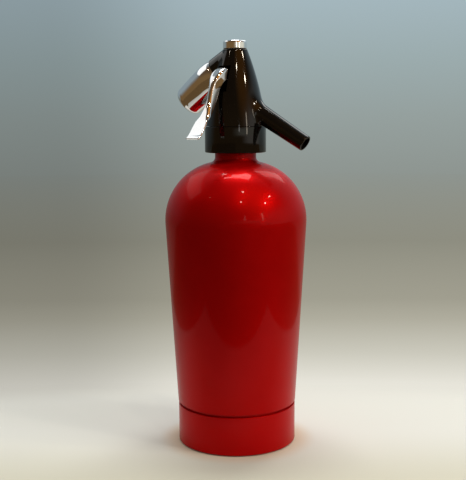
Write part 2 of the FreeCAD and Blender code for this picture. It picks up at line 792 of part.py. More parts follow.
# ---------------------------------------------------------------- gas inlet
def inlet_fitting():
    flange_start = plate_start - inlet_flange
    fitting = joined([disc(inlet_flange_radius, flange_start, plate_start),
                      disc(inlet_shank_radius, flange_start, inlet_end)])
    cuts = [disc(bulb_neck_radius + bulb_neck_fit, bulb_seat, far),
            disc(pin_radius + slip, pin_start, bulb_seat + 1)]
    fitting = turned_to(along_holder(fitting.cut(cuts)), -holder_azimuth)
    drop = math.radians(holder_drop)
    low = FreeCAD.Vector(gas_tube_distance, 0, gas_tube_top)
    high = FreeCAD.Vector(pin_start * math.cos(drop), 0, holder_height - pin_start * math.sin(drop))
    drilling = Part.makeCylinder(gas_tube_bore, (high - low).Length, low, high - low)
    return turned_to(joined([fitting, gas_lug(0)]).cut([gas_tube_hole(), drilling]), holder_azimuth)


def thread_ring():
    return along_holder(ring(thread_ring_radius, inlet_shank_radius + slip, boss_end,
                             boss_end + thread_ring_length))


def piercing_pin():
    taper = 2 * pin_radius
    pin = turned_points([
        (pin_bore, pin_start), (pin_radius, pin_start), (pin_radius, pin_point - taper),
        (pin_bore + pin_point_rim, pin_point), (pin_bore, pin_point)])
    return along_holder(pin)


def bulb_seal():
    return along_holder(ring(bulb_neck_radius, pin_radius + slip, bulb_seat,
                             bulb_seat + bulb_seal_thickness))


def gas_tube():
    tube = Part.makeCylinder(gas_tube_radius, gas_tube_top - column_top + gas_tube_seat,
                             FreeCAD.Vector(gas_tube_distance, 0, column_top - gas_tube_seat))
    bore = Part.makeCylinder(gas_tube_bore, far, FreeCAD.Vector(gas_tube_distance, 0, 0))
    return turned_to(tube.cut(bore), holder_azimuth)


# ---------------------------------------------------------------- gas bulb and its holder
def bulb_form(inset):
    neck_end = bulb_tip + bulb_neck_length
    shoulder_end = neck_end + bulb_shoulder_length
    radius = bulb_radius - inset
    neck = bulb_neck_radius - inset
    centre = (0, bulb_end - bulb_radius)
    start = bulb_tip + inset
    return turned([
        line((0, start), (neck, start)),
        line((neck, start), (neck, neck_end)),
        curve([(neck, neck_end), (neck + 0.3 * (radius - neck), neck_end + 0.25 * bulb_shoulder_length),
               (neck + 0.8 * (radius - neck), neck_end + 0.65 * bulb_shoulder_length),
               (radius, shoulder_end)]),
        line((radius, shoulder_end), (radius, centre[1])),
        arc_about(centre, radius, (radius, centre[1]), (0, centre[1] + radius)),
        line((0, centre[1] + radius), (0, start))])


def gas_bulb():
    pierced = disc(bulb_hole_radius, 0, bulb_tip + 2 * bulb_wall)
    return along_holder(bulb_form(0).cut([bulb_form(bulb_wall), pierced]))


def charger_holder():
    thread_bore = thread_ring_radius + holder_thread_fit
    thread_end = holder_start + holder_thread_length
    bore_end = liner_end + liner_margin
    return along_holder(turned([
        line((thread_bore, holder_start), holder_profile[0]),
        curve(holder_profile),
        arc(holder_profile[-1], holder_corner, holder_end_edge),
        crown(holder_end_edge, holder_end),
        line((0, holder_end), (0, holder_inside_end)),
        line((0, holder_inside_end), (pad_radius + slip, holder_inside_end)),
        line((pad_radius + slip, holder_inside_end), (holder_bore, bore_end)),
        line((holder_bore, bore_end), (holder_bore, thread_end)),
        line((holder_bore, thread_end), (thread_bore, thread_end)),
        line((thread_bore, thread_end), (thread_bore, holder_start))]))


def holder_liner():
    outer = holder_bore - slip
    return along_holder(ring(outer, outer - liner_wall, liner_start, liner_end))


def bulb_pad():
    return along_holder(disc(pad_radius, bulb_end + bulb_seal_gap, holder_inside_end))


# ---------------------------------------------------------------- lever
def moved_inward(points, distance):
    """The points of the lever's face, moved square to it towards the head."""
    moved = []
    for index, (x, z) in enumerate(points):
        before = points[max(index - 1, 0)]
        after = points[min(index + 1, len(points) - 1)]
        run = math.dist(before, after)
        moved.append((x + distance * (after[1] - before[1]) / run,
                      z - distance * (after[0] - before[0]) / run))
    return moved


def under(points, left):
    """Everything under a curve, from its end back to the left."""
    return slab([curve(points)] + outline([points[-1], (points[-1][0], -far), (left, -far),
                                           (left, points[0][1]), points[0]]), far)


def across(inset):
    """The lever's outline seen from outside, as a block that runs through the head."""
    sides = [(half - inset, height) for height, half in lever_half_widths]
    top = sides[0]
    bottom = sides[-1]
    right = [curve(sides)]
    left = [curve([(-half, height) for half, height in sides])]
    ends = outline([bottom, (bottom[0], -far), (-bottom[0], -far), (-bottom[0], bottom[1])])
    ends += outline([(-top[0], top[1]), (-top[0], far), (top[0], far), top])
    face = Part.Face(Part.Wire(Part.__sortEdges__(right + left + ends)))
    block = face.extrude(FreeCAD.Vector(0, far, 0))
    block.translate(FreeCAD.Vector(0, -far / 2, 0))
    block.rotate(ORIGIN, ALONG_Z, 90)
    return block


def pin_line(radius, start, end):
    """A round bar along the pivot's axis, between two distances from the lever's middle plane."""
    bar = Part.makeCylinder(radius, end - start, FreeCAD.Vector(pivot_radius, start, pivot_height),
                            ALONG_Y)
    return turned_to(bar, lever_azimuth)


def lever():
    face = lever_face
    back = moved_inward(face, lever_web)
    sheet = slab([curve(face)] + outline([face[-1], back[-1]]) + [curve(back)]
                 + outline([back[0], face[0]]), far)
    cheek_edge = [(face[0][0], fork_bottom)] + lever_cheek_edge
    last = cheek_edge[-1]
    above = slab([curve(lever_cheek_edge)] + outline([
        last, (last[0], slot_top), (-fork_reach, slot_top), (-fork_reach, fork_bottom),
        cheek_edge[0], cheek_edge[1]]), far)
    cheeks = under(face, -far).common(above)
    fork_room = box(-far, face[0][0], -far, far, fork_top, far)
    cheeks = cheeks.cut(fork_room)
    whole = joined([sheet, cheeks]).common(across(0))
    inside = under(back, face[0][0]).common(across(lever_cheek))
    fork_gap = box(-far, face[0][0] + lever_cheek, -lever_half_widths[0][1] + fork_finger,
                   lever_half_widths[0][1] - fork_finger, 0, far)
    whole = whole.cut([inside, fork_gap])
    whole = turned_to(whole, lever_azimuth)
    return whole.cut(pin_line(lever_pin_radius + lever_pin_fit, -far / 2, far / 2))


def lever_pin():
    reach = slot_half_width + lug_thickness - lug_blind - slip
    return pin_line(lever_pin_radius, -reach, reach)


# ---------------------------------------------------------------- files
PIECES = [
    bottle_shell, base_cup, foot_ring, measuring_tube, neck_gasket,
    screw_collar, collar_nut,
    head_cover, top_cap, cap_gasket, cover_seat_ring, valve_body, valve_seat, gland_seal, gland_nut,
    riser_tube, riser_seal, riser_union, check_sleeve, spout_tube, spout_nozzle,
    inlet_fitting, thread_ring, piercing_pin, bulb_seal, gas_tube,
    valve_stem, valve_washer, lift_collar, valve_spring,
    gas_bulb, charger_holder, holder_liner, bulb_pad,
    lever, lever_pin]

os.makedirs("parts", exist_ok=True)
for piece in PIECES:
    shape = piece()
    shape.exportStep("parts/" + piece.__name__ + ".step")
    print(piece.__name__, len(shape.Solids), "solid,", round(shape.Volume), "mm3,",
          "valid" if shape.isValid() else "not valid")
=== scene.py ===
# %% [markdown]
# # A soda siphon in a plain studio
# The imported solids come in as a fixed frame. Some of them are right as they are and only need a
# finish. The glossy ones are modelled again here with even, finely divided surfaces, because a
# mirror-like finish shows every flat facet.

# %% Load the frame
import json
import math

import bpy
from mathutils import Matrix, Vector


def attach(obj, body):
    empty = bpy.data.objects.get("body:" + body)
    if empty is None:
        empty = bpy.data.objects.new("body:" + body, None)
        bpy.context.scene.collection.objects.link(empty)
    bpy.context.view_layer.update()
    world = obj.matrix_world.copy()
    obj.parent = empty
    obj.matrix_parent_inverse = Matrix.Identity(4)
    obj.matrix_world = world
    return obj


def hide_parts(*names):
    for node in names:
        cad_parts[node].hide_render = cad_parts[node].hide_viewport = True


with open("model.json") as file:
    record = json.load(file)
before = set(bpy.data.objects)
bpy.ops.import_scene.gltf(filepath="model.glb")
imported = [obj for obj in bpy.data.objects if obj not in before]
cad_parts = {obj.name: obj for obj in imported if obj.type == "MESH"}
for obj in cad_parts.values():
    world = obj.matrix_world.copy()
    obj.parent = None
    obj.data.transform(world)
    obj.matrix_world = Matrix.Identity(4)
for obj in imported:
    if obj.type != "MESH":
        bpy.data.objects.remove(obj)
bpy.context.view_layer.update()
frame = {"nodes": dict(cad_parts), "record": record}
scene = bpy.context.scene
MM = 0.001

# %% [markdown]
# ## The camera
# The camera stands in front of the siphon, a little below the height of its cap and turned towards
# its spout. It looks slightly down. A long lens keeps the upright edges nearly parallel.

# %% Place the camera
VIEW_AZIMUTH = 29.0
VIEW_DISTANCE = 703.6
VIEW_HEIGHT = 250.2
VIEW_PITCH = 7.9
VIEW_ROLL = -0.3
LENS = 71.25
SENSOR_WIDTH = 36.0
SHIFT = -0.00625
VIEW_END = 30.0


def place_camera():
    """Aims the camera at the bottle's axis from its distance, height and turn round the bottle."""
    bpy.ops.object.select_all(action="DESELECT")
    bpy.ops.object.camera_add()
    camera = bpy.context.active_object
    turn = math.radians(VIEW_AZIMUTH)
    place = Vector((math.sin(turn) * VIEW_DISTANCE, -math.cos(turn) * VIEW_DISTANCE,
                    VIEW_HEIGHT)) * MM
    aim = (Matrix.Rotation(turn, 4, "Z") @ Matrix.Rotation(math.radians(90 - VIEW_PITCH), 4, "X")
           @ Matrix.Rotation(math.radians(VIEW_ROLL), 4, "Z"))
    camera.matrix_world = Matrix.Translation(place) @ aim
    camera.data.lens = LENS
    camera.data.sensor_width = SENSOR_WIDTH
    camera.data.shift_x = SHIFT
    camera.data.clip_end = VIEW_END
    scene.camera = camera
    return camera


camera = place_camera()
print("camera at", tuple(round(v, 3) for v in camera.location))

# %% [markdown]
# ## Turning on a lathe
# The bottle, the cup, the collar, the cap and the bulb holder are all turned shapes. Each starts
# as one point, which is extruded along half of the section and then spun round the axis. A section
# is a list of radius and height in millimetres, and a third number on a corner rounds it.


# %% Lines for a section
CORNER_STEPS = 5
def rounded(corners):
    """Replaces each corner that has a third number by a short arc of that radius."""
    line = []
    for index, corner in enumerate(corners):
        if len(corner) == 2:
            line.append(tuple(corner))
            continue
        here = Vector(corner[:2])
        before = (Vector(corners[index - 1][:2]) - here).normalized()
        after = (Vector(corners[(index + 1) % len(corners)][:2]) - here).normalized()
        half = before.angle(after) / 2
        centre = here + (before + after).normalized() * corner[2] / math.sin(half)
        start = here + before * corner[2] / math.tan(half) - centre
        end = here + after * corner[2] / math.tan(half) - centre
        spread = math.pi - 2 * half
        for step in range(CORNER_STEPS + 1):
            share = step / CORNER_STEPS
            turned = start * math.sin((1 - share) * spread) + end * math.sin(share * spread)
            point = centre + turned / math.sin(spread)
            line.append((point.x, point.y))
    return line


def arc(centre, radius, start, end, count):
    """Points on a circle from one angle to another, in degrees."""
    angles = [math.radians(start + (end - start) * step / count) for step in range(count + 1)]
    return [(centre[0] + radius * math.cos(a), centre[1] + radius * math.sin(a)) for a in angles]


def circle_through(first, middle, last):
    """The centre and radius of the circle through three points."""
    (ax, az), (bx, bz), (cx, cz) = first, middle, last
    a2, b2, c2 = ax * ax + az * az, bx * bx + bz * bz, cx * cx + cz * cz
    area = 2 * (ax * (bz - cz) + bx * (cz - az) + cx * (az - bz))
    centre = ((a2 * (bz - cz) + b2 * (cz - az) + c2 * (az - bz)) / area,
              (a2 * (cx - bx) + b2 * (ax - cx) + c2 * (bx - ax)) / area)
    return centre, math.dist(centre, first)


def arc_through(first, middle, last, count):
    """Points on the circle through three points, from the first to the last."""
    centre, radius = circle_through(first, middle, last)
    start = math.degrees(math.atan2(first[1] - centre[1], first[0] - centre[0]))
    end = math.degrees(math.atan2(last[1] - centre[1], last[0] - centre[0]))
    return arc(centre, radius, start, end, count)


def flowing(points, count):
    """A smooth line through the points, with the given number of steps between two of them."""
    ends = [points[0]] + list(points) + [points[-1]]
    line = []
    for index in range(1, len(ends) - 2):
        before, start, end, after = (Vector(p) for p in ends[index - 1:index + 3])
        for step in range(count):
            t = step / count
            line.append(tuple(0.5 * (2 * start + (end - before) * t
                                     + (2 * before - 5 * start + 4 * end - after) * t * t
                                     + (3 * start - before - 3 * end + after) * t * t * t)))
    return line + [tuple(points[-1])]


print("a rounded square corner has", len(rounded([(0, 0), (4, 0, 1), (4, 4)])) - 2, "points")


# %% The lathe
STEPS_ROUND = 96
WELD = 0.002
SHARP_FROM = 32.0


def only(piece):
    """Makes one piece the only selected and active one."""
    bpy.ops.object.select_all(action="DESELECT")
    piece.select_set(True)
    bpy.context.view_layer.objects.active = piece


def settle(piece):
    """Takes a piece's place, turn and scale into its mesh."""
    only(piece)
    bpy.ops.object.transform_apply(location=True, rotation=True, scale=True)


def edit_all(piece):
    """Starts to edit a piece, with all of its mesh selected."""
    only(piece)
    bpy.ops.object.mode_set(mode="EDIT")
    bpy.ops.mesh.select_all(action="SELECT")


def lathe(name, section, steps=STEPS_ROUND, closed=False):
    """Extrudes a point along the section, spins it about Z and closes the seam."""
    bpy.ops.object.select_all(action="DESELECT")
    first = section[0]
    bpy.ops.mesh.primitive_plane_add(size=MM, location=(first[0] * MM, 0, first[1] * MM))
    piece = bpy.context.active_object
    piece.name = name
    piece.data.name = name
    settle(piece)
    edit_all(piece)
    bpy.ops.mesh.merge(type="CENTER")
    last = first
    for point in section[1:] + ([first] if closed else []):
        move = ((point[0] - last[0]) * MM, 0, (point[1] - last[1]) * MM)
        bpy.ops.mesh.extrude_vertices_move(TRANSFORM_OT_translate={"value": move})
        last = point
    bpy.ops.mesh.select_all(action="SELECT")
    bpy.ops.mesh.spin(steps=steps, angle=2 * math.pi, center=(0, 0, 0), axis=(0, 0, 1))
    bpy.ops.mesh.select_all(action="SELECT")
    bpy.ops.mesh.remove_doubles(threshold=WELD * MM)
    bpy.ops.mesh.normals_make_consistent(inside=False)
    bpy.ops.object.mode_set(mode="OBJECT")
    soften(piece)
    return piece


def soften(piece, angle=SHARP_FROM):
    """Shades a piece smooth, apart from the edges that are sharper than the angle."""
    only(piece)
    bpy.ops.object.shade_smooth_by_angle(angle=math.radians(angle))


def lay(piece, azimuth, drop, height):
    """Lays an upright piece along a line that leaves the axis at a height and drops away."""
    turn = Matrix.Rotation(math.radians(azimuth), 4, "Z")
    tilt = Matrix.Rotation(math.radians(90 + drop), 4, "Y")
    piece.matrix_world = Matrix.Translation((0, 0, height * MM)) @ (turn @ tilt)
    settle(piece)


def finish_piece(piece, body, slot, material, *nodes):
    """Sets a piece's finish, the body that it rides on and the solids that it stands for."""
    if not piece.data.materials:
        piece.data.materials.append(material)
    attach(piece, body)
    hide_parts(*nodes)
    print(piece.name, "has", len(piece.data.polygons), "faces")


print("a turned piece has", STEPS_ROUND, "steps round, unless it says otherwise")


# %% [markdown]
# ## Finishes
# Every finish is worked out from Object coordinates, so it stays on the piece in any view. A fine
# noise varies the colour and the gloss a little, and a finer one gives the surface its grain.


# %% A base for all finishes
PATCH_DETAIL = 3.0
PATCH_RANGE = (0.3, 0.7)
GRAIN_DETAIL = 2.0


def mixed(tree, factor, first, second):
    """A mix of two colours, each a socket or three numbers."""
    mix = tree.nodes.new("ShaderNodeMix")
    mix.data_type = "RGBA"
    for index, value in ((6, first), (7, second)):
        if isinstance(value, bpy.types.NodeSocket):
            tree.links.new(value, mix.inputs[index])
        else:
            mix.inputs[index].default_value = (*value, 1)
    tree.links.new(factor, mix.inputs[0])
    return mix.outputs[2]


def noise(tree, size, detail):
    """Noise on a piece's Object coordinates, in patches of about the size."""
    node = tree.nodes.new("ShaderNodeTexNoise")
    node.inputs["Scale"].default_value = 1 / (size * MM)
    node.inputs["Detail"].default_value = detail
    place = tree.nodes.new("ShaderNodeTexCoord")
    tree.links.new(place.outputs["Object"], node.inputs["Vector"])
    return node.outputs["Fac"]


def surface(name, dark, light, patch_size, roughness, grain_size, grain, **sockets):
    """A finish whose colour and roughness drift in patches, with a fine grain as bump."""
    material = bpy.data.materials.new(name)
    material.use_nodes = True
    tree = material.node_tree
    shader = tree.nodes["Principled BSDF"]
    patches = noise(tree, patch_size, PATCH_DETAIL)
    tree.links.new(mixed(tree, patches, dark, light), shader.inputs["Base Color"])
    gloss = tree.nodes.new("ShaderNodeMapRange")
    gloss.inputs["From Min"].default_value = PATCH_RANGE[0]
    gloss.inputs["From Max"].default_value = PATCH_RANGE[1]
    gloss.inputs["To Min"].default_value = roughness[0]
    gloss.inputs["To Max"].default_value = roughness[1]
    tree.links.new(patches, gloss.inputs["Value"])
    tree.links.new(gloss.outputs["Result"], shader.inputs["Roughness"])
    bump = tree.nodes.new("ShaderNodeBump")
    bump.inputs["Strength"].default_value = 1.0
    bump.inputs["Distance"].default_value = grain * MM
    tree.links.new(noise(tree, grain_size, GRAIN_DETAIL), bump.inputs["Height"])
    tree.links.new(bump.outputs["Normal"], shader.inputs["Normal"])
    for socket, value in sockets.items():
        shader.inputs[socket.replace("_", " ")].default_value = value
    return material


print("the patches have detail", PATCH_DETAIL, "and the grain has", GRAIN_DETAIL)

# %% [markdown]
# ## The red lacquer
# The body is aluminium under a red lacquer with a soft metallic sheen. A plain glossy red would be
# simpler, but its lights would all be small and hard. So the base is partly metal and fairly rough,
# which spreads the light of the panels, and a weak clear coat on top adds the sharp points.

# %% Red lacquer
red_lacquer = surface("red_lacquer", dark=(0.43, 0.0012, 0.0015), light=(0.48, 0.0016, 0.002),
                      patch_size=12.0, roughness=(0.34, 0.38), grain_size=3.0, grain=0.0005,
                      Metallic=0.4, Specular_IOR_Level=0.0, Coat_Weight=0.4, Coat_Roughness=0.03,
                      Coat_IOR=1.25)
print("made", red_lacquer.name)

# %% [markdown]
# ## Plastics, rubber and metals
# The head is black plastic with a high gloss. Inside it are matt and pale plastics, rubber seals
# and fittings of brass and steel, and the cap, the bulb holder and the lever are chromed. They
# differ in colour, gloss and grain only, so one function makes them all.

# %% Plastics and rubber
black_gloss = surface("black_gloss", dark=(0.0022, 0.0018, 0.0014), light=(0.004, 0.003, 0.0024),
                      patch_size=6.0, roughness=(0.05, 0.09), grain_size=1.2, grain=0.001, IOR=1.45)
black_matte = surface("black_matte", dark=(0.02, 0.02, 0.02), light=(0.035, 0.035, 0.035),
                      patch_size=2.0, roughness=(0.40, 0.55), grain_size=0.3, grain=0.02)
pale_plastic = surface("pale_plastic", dark=(0.78, 0.77, 0.72), light=(0.86, 0.85, 0.81),
                       patch_size=5.0, roughness=(0.30, 0.42), grain_size=0.4, grain=0.01,
                       Subsurface_Weight=0.15, Subsurface_Scale=0.002)
rubber = surface("rubber", dark=(0.018, 0.018, 0.019), light=(0.035, 0.034, 0.034),
                 patch_size=1.5, roughness=(0.65, 0.85), grain_size=0.25, grain=0.02)
print("made", black_gloss.name, black_matte.name, pale_plastic.name, rubber.name)

# %% Metals
chrome = surface("chrome", dark=(0.80, 0.80, 0.81), light=(0.88, 0.88, 0.89), patch_size=4.0,
                 roughness=(0.04, 0.09), grain_size=1.5, grain=0.002, Metallic=1.0)
steel = surface("steel", dark=(0.50, 0.50, 0.51), light=(0.64, 0.64, 0.65), patch_size=1.2,
                roughness=(0.22, 0.34), grain_size=0.2, grain=0.006, Metallic=1.0)
brass = surface("brass", dark=(0.58, 0.40, 0.16), light=(0.72, 0.53, 0.25), patch_size=2.5,
                roughness=(0.20, 0.34), grain_size=0.3, grain=0.008, Metallic=1.0)
bare_aluminium = surface("bare_aluminium", dark=(0.60, 0.60, 0.60), light=(0.74, 0.74, 0.75),
                         patch_size=2.0, roughness=(0.28, 0.40), grain_size=0.25, grain=0.008,
                         Metallic=1.0)
print("made", chrome.name, steel.name, brass.name, bare_aluminium.name)

# %% [markdown]
# ## Solids that keep their shape
# Seals, springs, tubes and machined fittings are right as they come. Each gets the finish of its
# slot.

# %% Finish the solids that stay
FINISHES = {"red_lacquer": red_lacquer, "black_gloss": black_gloss, "black_matte": black_matte,
            "chrome": chrome, "brass": brass, "steel": steel, "pale_plastic": pale_plastic,
            "rubber": rubber}
for part in frame["record"]["subparts"]:
    solid = frame["nodes"][part["node"]]
    for slot in solid.material_slots:
        slot.material = FINISHES[part["material_slot"]]

# %% [markdown]
# ## The bottle
# The real body is drawn from one sheet of aluminium: a tapered side, a domed shoulder and a short
# neck. The same line, moved in by the wall's thickness, makes the inside.

# %% The bottle's line
SHOULDER = (8.7, 168.0)
SHOULDER_RADIUS = 43.8
SIDE_FOOT = (44.5, 31.0)
CUP_SEAT_RADIUS = 42.3
BOTTOM = 3.0
BOTTOM_CORNER = 6.0
DOME_RADIUS = 30.0
DOME_RISE = 6.0
DOME_STEPS = 8
NECK_FILLET = 4.0
NECK_RADIUS = 15.2
NECK_BORE = 12.6
NECK_TOP = 234.0
BOTTLE_WALL = 1.5


def bottle_line(inset, neck):
    """The bottle's section from the middle of its bottom to its neck, moved in by the inset."""
    bottom = BOTTOM + inset
    side = CUP_SEAT_RADIUS - inset
    corner = BOTTOM_CORNER - inset
    dome_radius = DOME_RADIUS - inset
    foot = (SIDE_FOOT[0] - inset, SIDE_FOOT[1] + inset)
    radius = SHOULDER_RADIUS - inset
    fillet = NECK_FILLET + inset
    lean = math.atan2(foot[1] - SHOULDER[1], foot[0] - SHOULDER[0])
    lean += math.acos(radius / math.dist(foot, SHOULDER))
    hollow = (neck + fillet, SHOULDER[1] + math.sqrt((radius + fillet) ** 2
                                                     - (neck + fillet - SHOULDER[0]) ** 2))
    rise = math.degrees(math.atan2(hollow[1] - SHOULDER[1], hollow[0] - SHOULDER[0]))
    dome = [(dome_radius * k / DOME_STEPS, bottom + DOME_RISE * (1 - (k / DOME_STEPS) ** 2))
            for k in range(DOME_STEPS + 1)]
    # The first and the last point only say which way the lines run, and aren't kept.
    ledge = rounded([(side, foot[1] - 3), (side, foot[1]), (*foot, 0.3),
                     (foot[0] + 0.8, foot[1] + 14)])[1:-1]
    return (dome + arc((side - corner, bottom + corner), corner, -90, 0, 8) + ledge
            + arc(SHOULDER, radius, math.degrees(lean), rise, 48)
            + arc(hollow, fillet, rise + 180, 180, 8))


outside = bottle_line(0, NECK_RADIUS)
inside = bottle_line(BOTTLE_WALL, NECK_BORE)
print("the bottle's line has", len(outside), "points outside and", len(inside), "inside")

# %% Turn the bottle
RIDGES = 4
RIDGE_LOW = 221.0
RIDGE_PITCH = 3.0
RIDGE_RADIUS = 16.6
LIP_LOW = 233.0
LACQUER_TOP = 219.5
FACES_IN = -0.2

ridges = []
for turn in range(RIDGES):
    low = RIDGE_LOW + RIDGE_PITCH * turn
    ridges += [(NECK_RADIUS, low), (RIDGE_RADIUS, low + 0.9), (RIDGE_RADIUS, low + 1.5),
               (NECK_RADIUS, low + 2.4)]
lip = rounded([(NECK_RADIUS, LIP_LOW), (NECK_RADIUS, NECK_TOP, 0.5), (NECK_BORE, NECK_TOP, 0.4),
               (NECK_BORE, LIP_LOW)])
bottle = lathe("bottle_body", outside + ridges + lip + inside[::-1], steps=144)
bottle.data.materials.append(red_lacquer)
bottle.data.materials.append(bare_aluminium)
for face in bottle.data.polygons:
    outward = Vector((face.center.x, face.center.y)).dot(Vector((face.normal.x, face.normal.y)))
    if face.center.z > LACQUER_TOP * MM or outward < FACES_IN * MM:
        face.material_index = 1
finish_piece(bottle, "bottle", "red_lacquer", red_lacquer, "bottle_shell")

# %% [markdown]
# ## The base cup
# A pressed cup covers the bottle's foot and leaves a dark groove under the body. Its rim and its
# lower edge are rolled, so both corners are rounded. A ring in its underside carries the siphon.

# %% Turn the base cup
CUP_RADIUS = 44.2
CUP_INSIDE = 42.4
CUP_LOW = 0.6
CUP_TOP = 29.0
RING_INNER = 33.77
RING_OUTER = 40.23
RING_SEAT = 2.2

cup = lathe("base_cup_red", rounded([
    (0, CUP_LOW), (RING_INNER, CUP_LOW), (RING_INNER, RING_SEAT), (RING_OUTER, RING_SEAT),
    (RING_OUTER, CUP_LOW), (CUP_RADIUS, CUP_LOW, 0.8), (CUP_RADIUS, CUP_TOP, 0.5),
    (CUP_INSIDE, CUP_TOP, 0.3), (CUP_INSIDE, BOTTOM), (0, BOTTOM)]), steps=144)
finish_piece(cup, "bottle", "red_lacquer", red_lacquer, "base_cup")

# %% [markdown]
# ## The collar
# The black skirt turns to lock the head on. It meets the cone above it in a hairline seam. It is a
# plain ring with a floor, so one closed section makes it.

# %% Turn the collar
COLLAR_RADIUS = 22.6
COLLAR_INSIDE = 19.6
COLLAR_BORE = 17.2
COLLAR_LOW = 218.0
COLLAR_FLOOR = 220.0
COLLAR_TOP = 237.0

collar = lathe("collar_black", rounded([
    (COLLAR_BORE, COLLAR_LOW, 0.4), (COLLAR_RADIUS, COLLAR_LOW, 0.8),
    (COLLAR_RADIUS, COLLAR_TOP, 0.25), (COLLAR_INSIDE, COLLAR_TOP),
    (COLLAR_INSIDE, COLLAR_FLOOR), (COLLAR_BORE, COLLAR_FLOOR)]), steps=128, closed=True)
finish_piece(collar, "collar", "black_gloss", black_gloss, "screw_collar")

# %% [markdown]
# ## The cap
# The chrome cap on the cone is a shallow dome with a soft shoulder. Its shank closes the space of
# the spring.

# %% Turn the cap
CAP_RADIUS = 8.7
CAP_LOW = 293.0
CAP_SHOULDER = (7.1, 297.3)
CAP_SHOULDER_RADIUS = 1.6
CAP_CROWN = [(6.0, 299.16), (4.5, 299.55), (3.0, 299.81), (1.5, 299.95), (0, 300.0)]
SHANK_RADIUS = 5.6
SHANK_BORE = 4.9
SHANK_LOW = 286.0
SPRING_CEILING = 290.0

# The two last points on the side keep its shading straight up to the rounded corners.
cap = lathe("cap_chrome", rounded([
    (0, SPRING_CEILING), (SHANK_BORE, SPRING_CEILING), (SHANK_BORE, SHANK_LOW),
    (SHANK_RADIUS, SHANK_LOW), (SHANK_RADIUS, CAP_LOW), (CAP_RADIUS, CAP_LOW, 0.3),
    (CAP_RADIUS, 293.6), (CAP_RADIUS, 297.0)])
    + arc(CAP_SHOULDER, CAP_SHOULDER_RADIUS, 0, 82, 10) + CAP_CROWN, steps=96)
finish_piece(cap, "head", "chrome", chrome, "top_cap")

# %% [markdown]
# ## The bulb holder
# The gas bulb screws on inside this chrome barrel. It swells near its mouth, narrows slowly and
# ends in a soft corner and a nearly flat end.

# %% Turn the bulb holder
HOLDER_AZIMUTH = 180.0
HOLDER_DROP = 38.6
HOLDER_HEIGHT = 287.0
MOUTH_RADIUS = 10.9
MOUTH_END = 16.8
HOLDER_WIDEST = 12.5
BARREL_END = (11.5, 48.5)
CORNER_END = (7.2, 53.3)
HOLDER_TIP = (0, 53.8)
BULB_SPACE = [(0, 52.1), (5.53, 52.1), (9.75, 45.5), (9.75, 22.6), (8.88, 22.6), (8.88, 17.1),
              (9.2, MOUTH_END)]

barrel = flowing([(MOUTH_RADIUS, MOUTH_END), (11.9, 20.0), (HOLDER_WIDEST, 26.0), (12.3, 34.0),
                  (12.0, 41.0), BARREL_END], 6)
corner = arc_through(BARREL_END, (10.3, 52.1), CORNER_END, 10)
end = arc_through(CORNER_END, (3.6, 53.675), HOLDER_TIP, 5)
holder = lathe("bulb_holder_chrome", barrel + corner[1:] + end[1:-1] + [HOLDER_TIP] + BULB_SPACE,
               steps=112, closed=True)
lay(holder, HOLDER_AZIMUTH, HOLDER_DROP, HOLDER_HEIGHT)
finish_piece(holder, "holder", "chrome", chrome, "charger_holder")

# %% [markdown]
# ## The head's cover
# One moulding carries the spout and the boss of the bulb holder, and it is hollow. The outside is
# three turned solids joined by booleans. Where they meet, a moulding has a hollow curve and no
# crease, so the vertices near the joins are then moved out to a blend of the three surfaces.

# %% Booleans
SEAM = 237.3
CONE_TOP = 292.6
CONE_EDGE = 291.8
CONE_EDGE_RADIUS = 9.2
CONE_MIDDLE = (17.95, 264.0)
CONE_WALL = 2.4


def bake(piece, modifier):
    """Works a modifier into a piece's mesh."""
    only(piece)
    bpy.ops.object.modifier_apply(modifier=modifier.name)


def combine(piece, operation, *tools):
    """Cuts the tools from a piece, joins them to it or keeps what they share."""
    bpy.ops.object.select_all(action="DESELECT")
    for tool in tools:
        tool.select_set(True)
    bpy.context.view_layer.objects.active = tools[0]
    if len(tools) > 1:
        bpy.ops.object.join()
    modifier = piece.modifiers.new("shape", "BOOLEAN")
    modifier.operation = operation
    modifier.solver = "EXACT"
    modifier.use_self = len(tools) > 1
    modifier.object = tools[0]
    bake(piece, modifier)
    bpy.data.objects.remove(tools[0])


def block(low, high, azimuth=0.0):
    """A box between two corners, turned about the head's axis."""
    bpy.ops.object.select_all(action="DESELECT")
    middle = (Vector(low) + Vector(high)) / 2 * MM
    bpy.ops.mesh.primitive_cube_add(size=1, location=middle,
                                    scale=(Vector(high) - Vector(low)) * MM)
    piece = bpy.context.active_object
    settle(piece)
    piece.rotation_euler.z = math.radians(azimuth)
    settle(piece)
    return piece


def block_pair(out, wide, high, azimuth=0.0):
    """Two boxes that mirror each other: ranges out from the axis, to the side and in height."""
    return [block((out[0], left, high[0]), (out[1], right, high[1]), azimuth)
            for left, right in ((-wide[1], -wide[0]), wide)]


def rod(radius, start, end, steps=64):
    """A plain cylinder on the axis, from one height to another."""
    return lathe("rod", [(0, start), (radius, start), (radius, end), (0, end)], steps=steps)


print("the cover is", round(CONE_TOP - SEAM, 1), "mm high")

# %% The lines of the cover
SPOUT_LINE = (0.0, 31.0, 259.0)
SPOUT_START = 11
SPOUT_SIDE_END = 64
SPOUT_END = 66
SPOUT_RADIUS = 7.1
SPOUT_TAPER = 0.02404
SPOUT_FLARE = (14.0, 27.0)
SPOUT_SWELL = 1.9
HOLDER_LINE = (HOLDER_AZIMUTH, HOLDER_DROP, HOLDER_HEIGHT)
BOSS_START = 2.0
BOSS_END = 16.4
BOSS_LENGTH = 14.4
BOSS_RADIUS = 9.8
BOSS_SWELL = 1.5
BOSS_STEP = 0.6


def cone_line(inset, top):
    """The cone's side from the seam to its top, moved in by the inset."""
    return arc_through((COLLAR_RADIUS - inset, SEAM), (CONE_MIDDLE[0] - inset, CONE_MIDDLE[1]),
                       (CONE_EDGE_RADIUS - inset, top), 56)


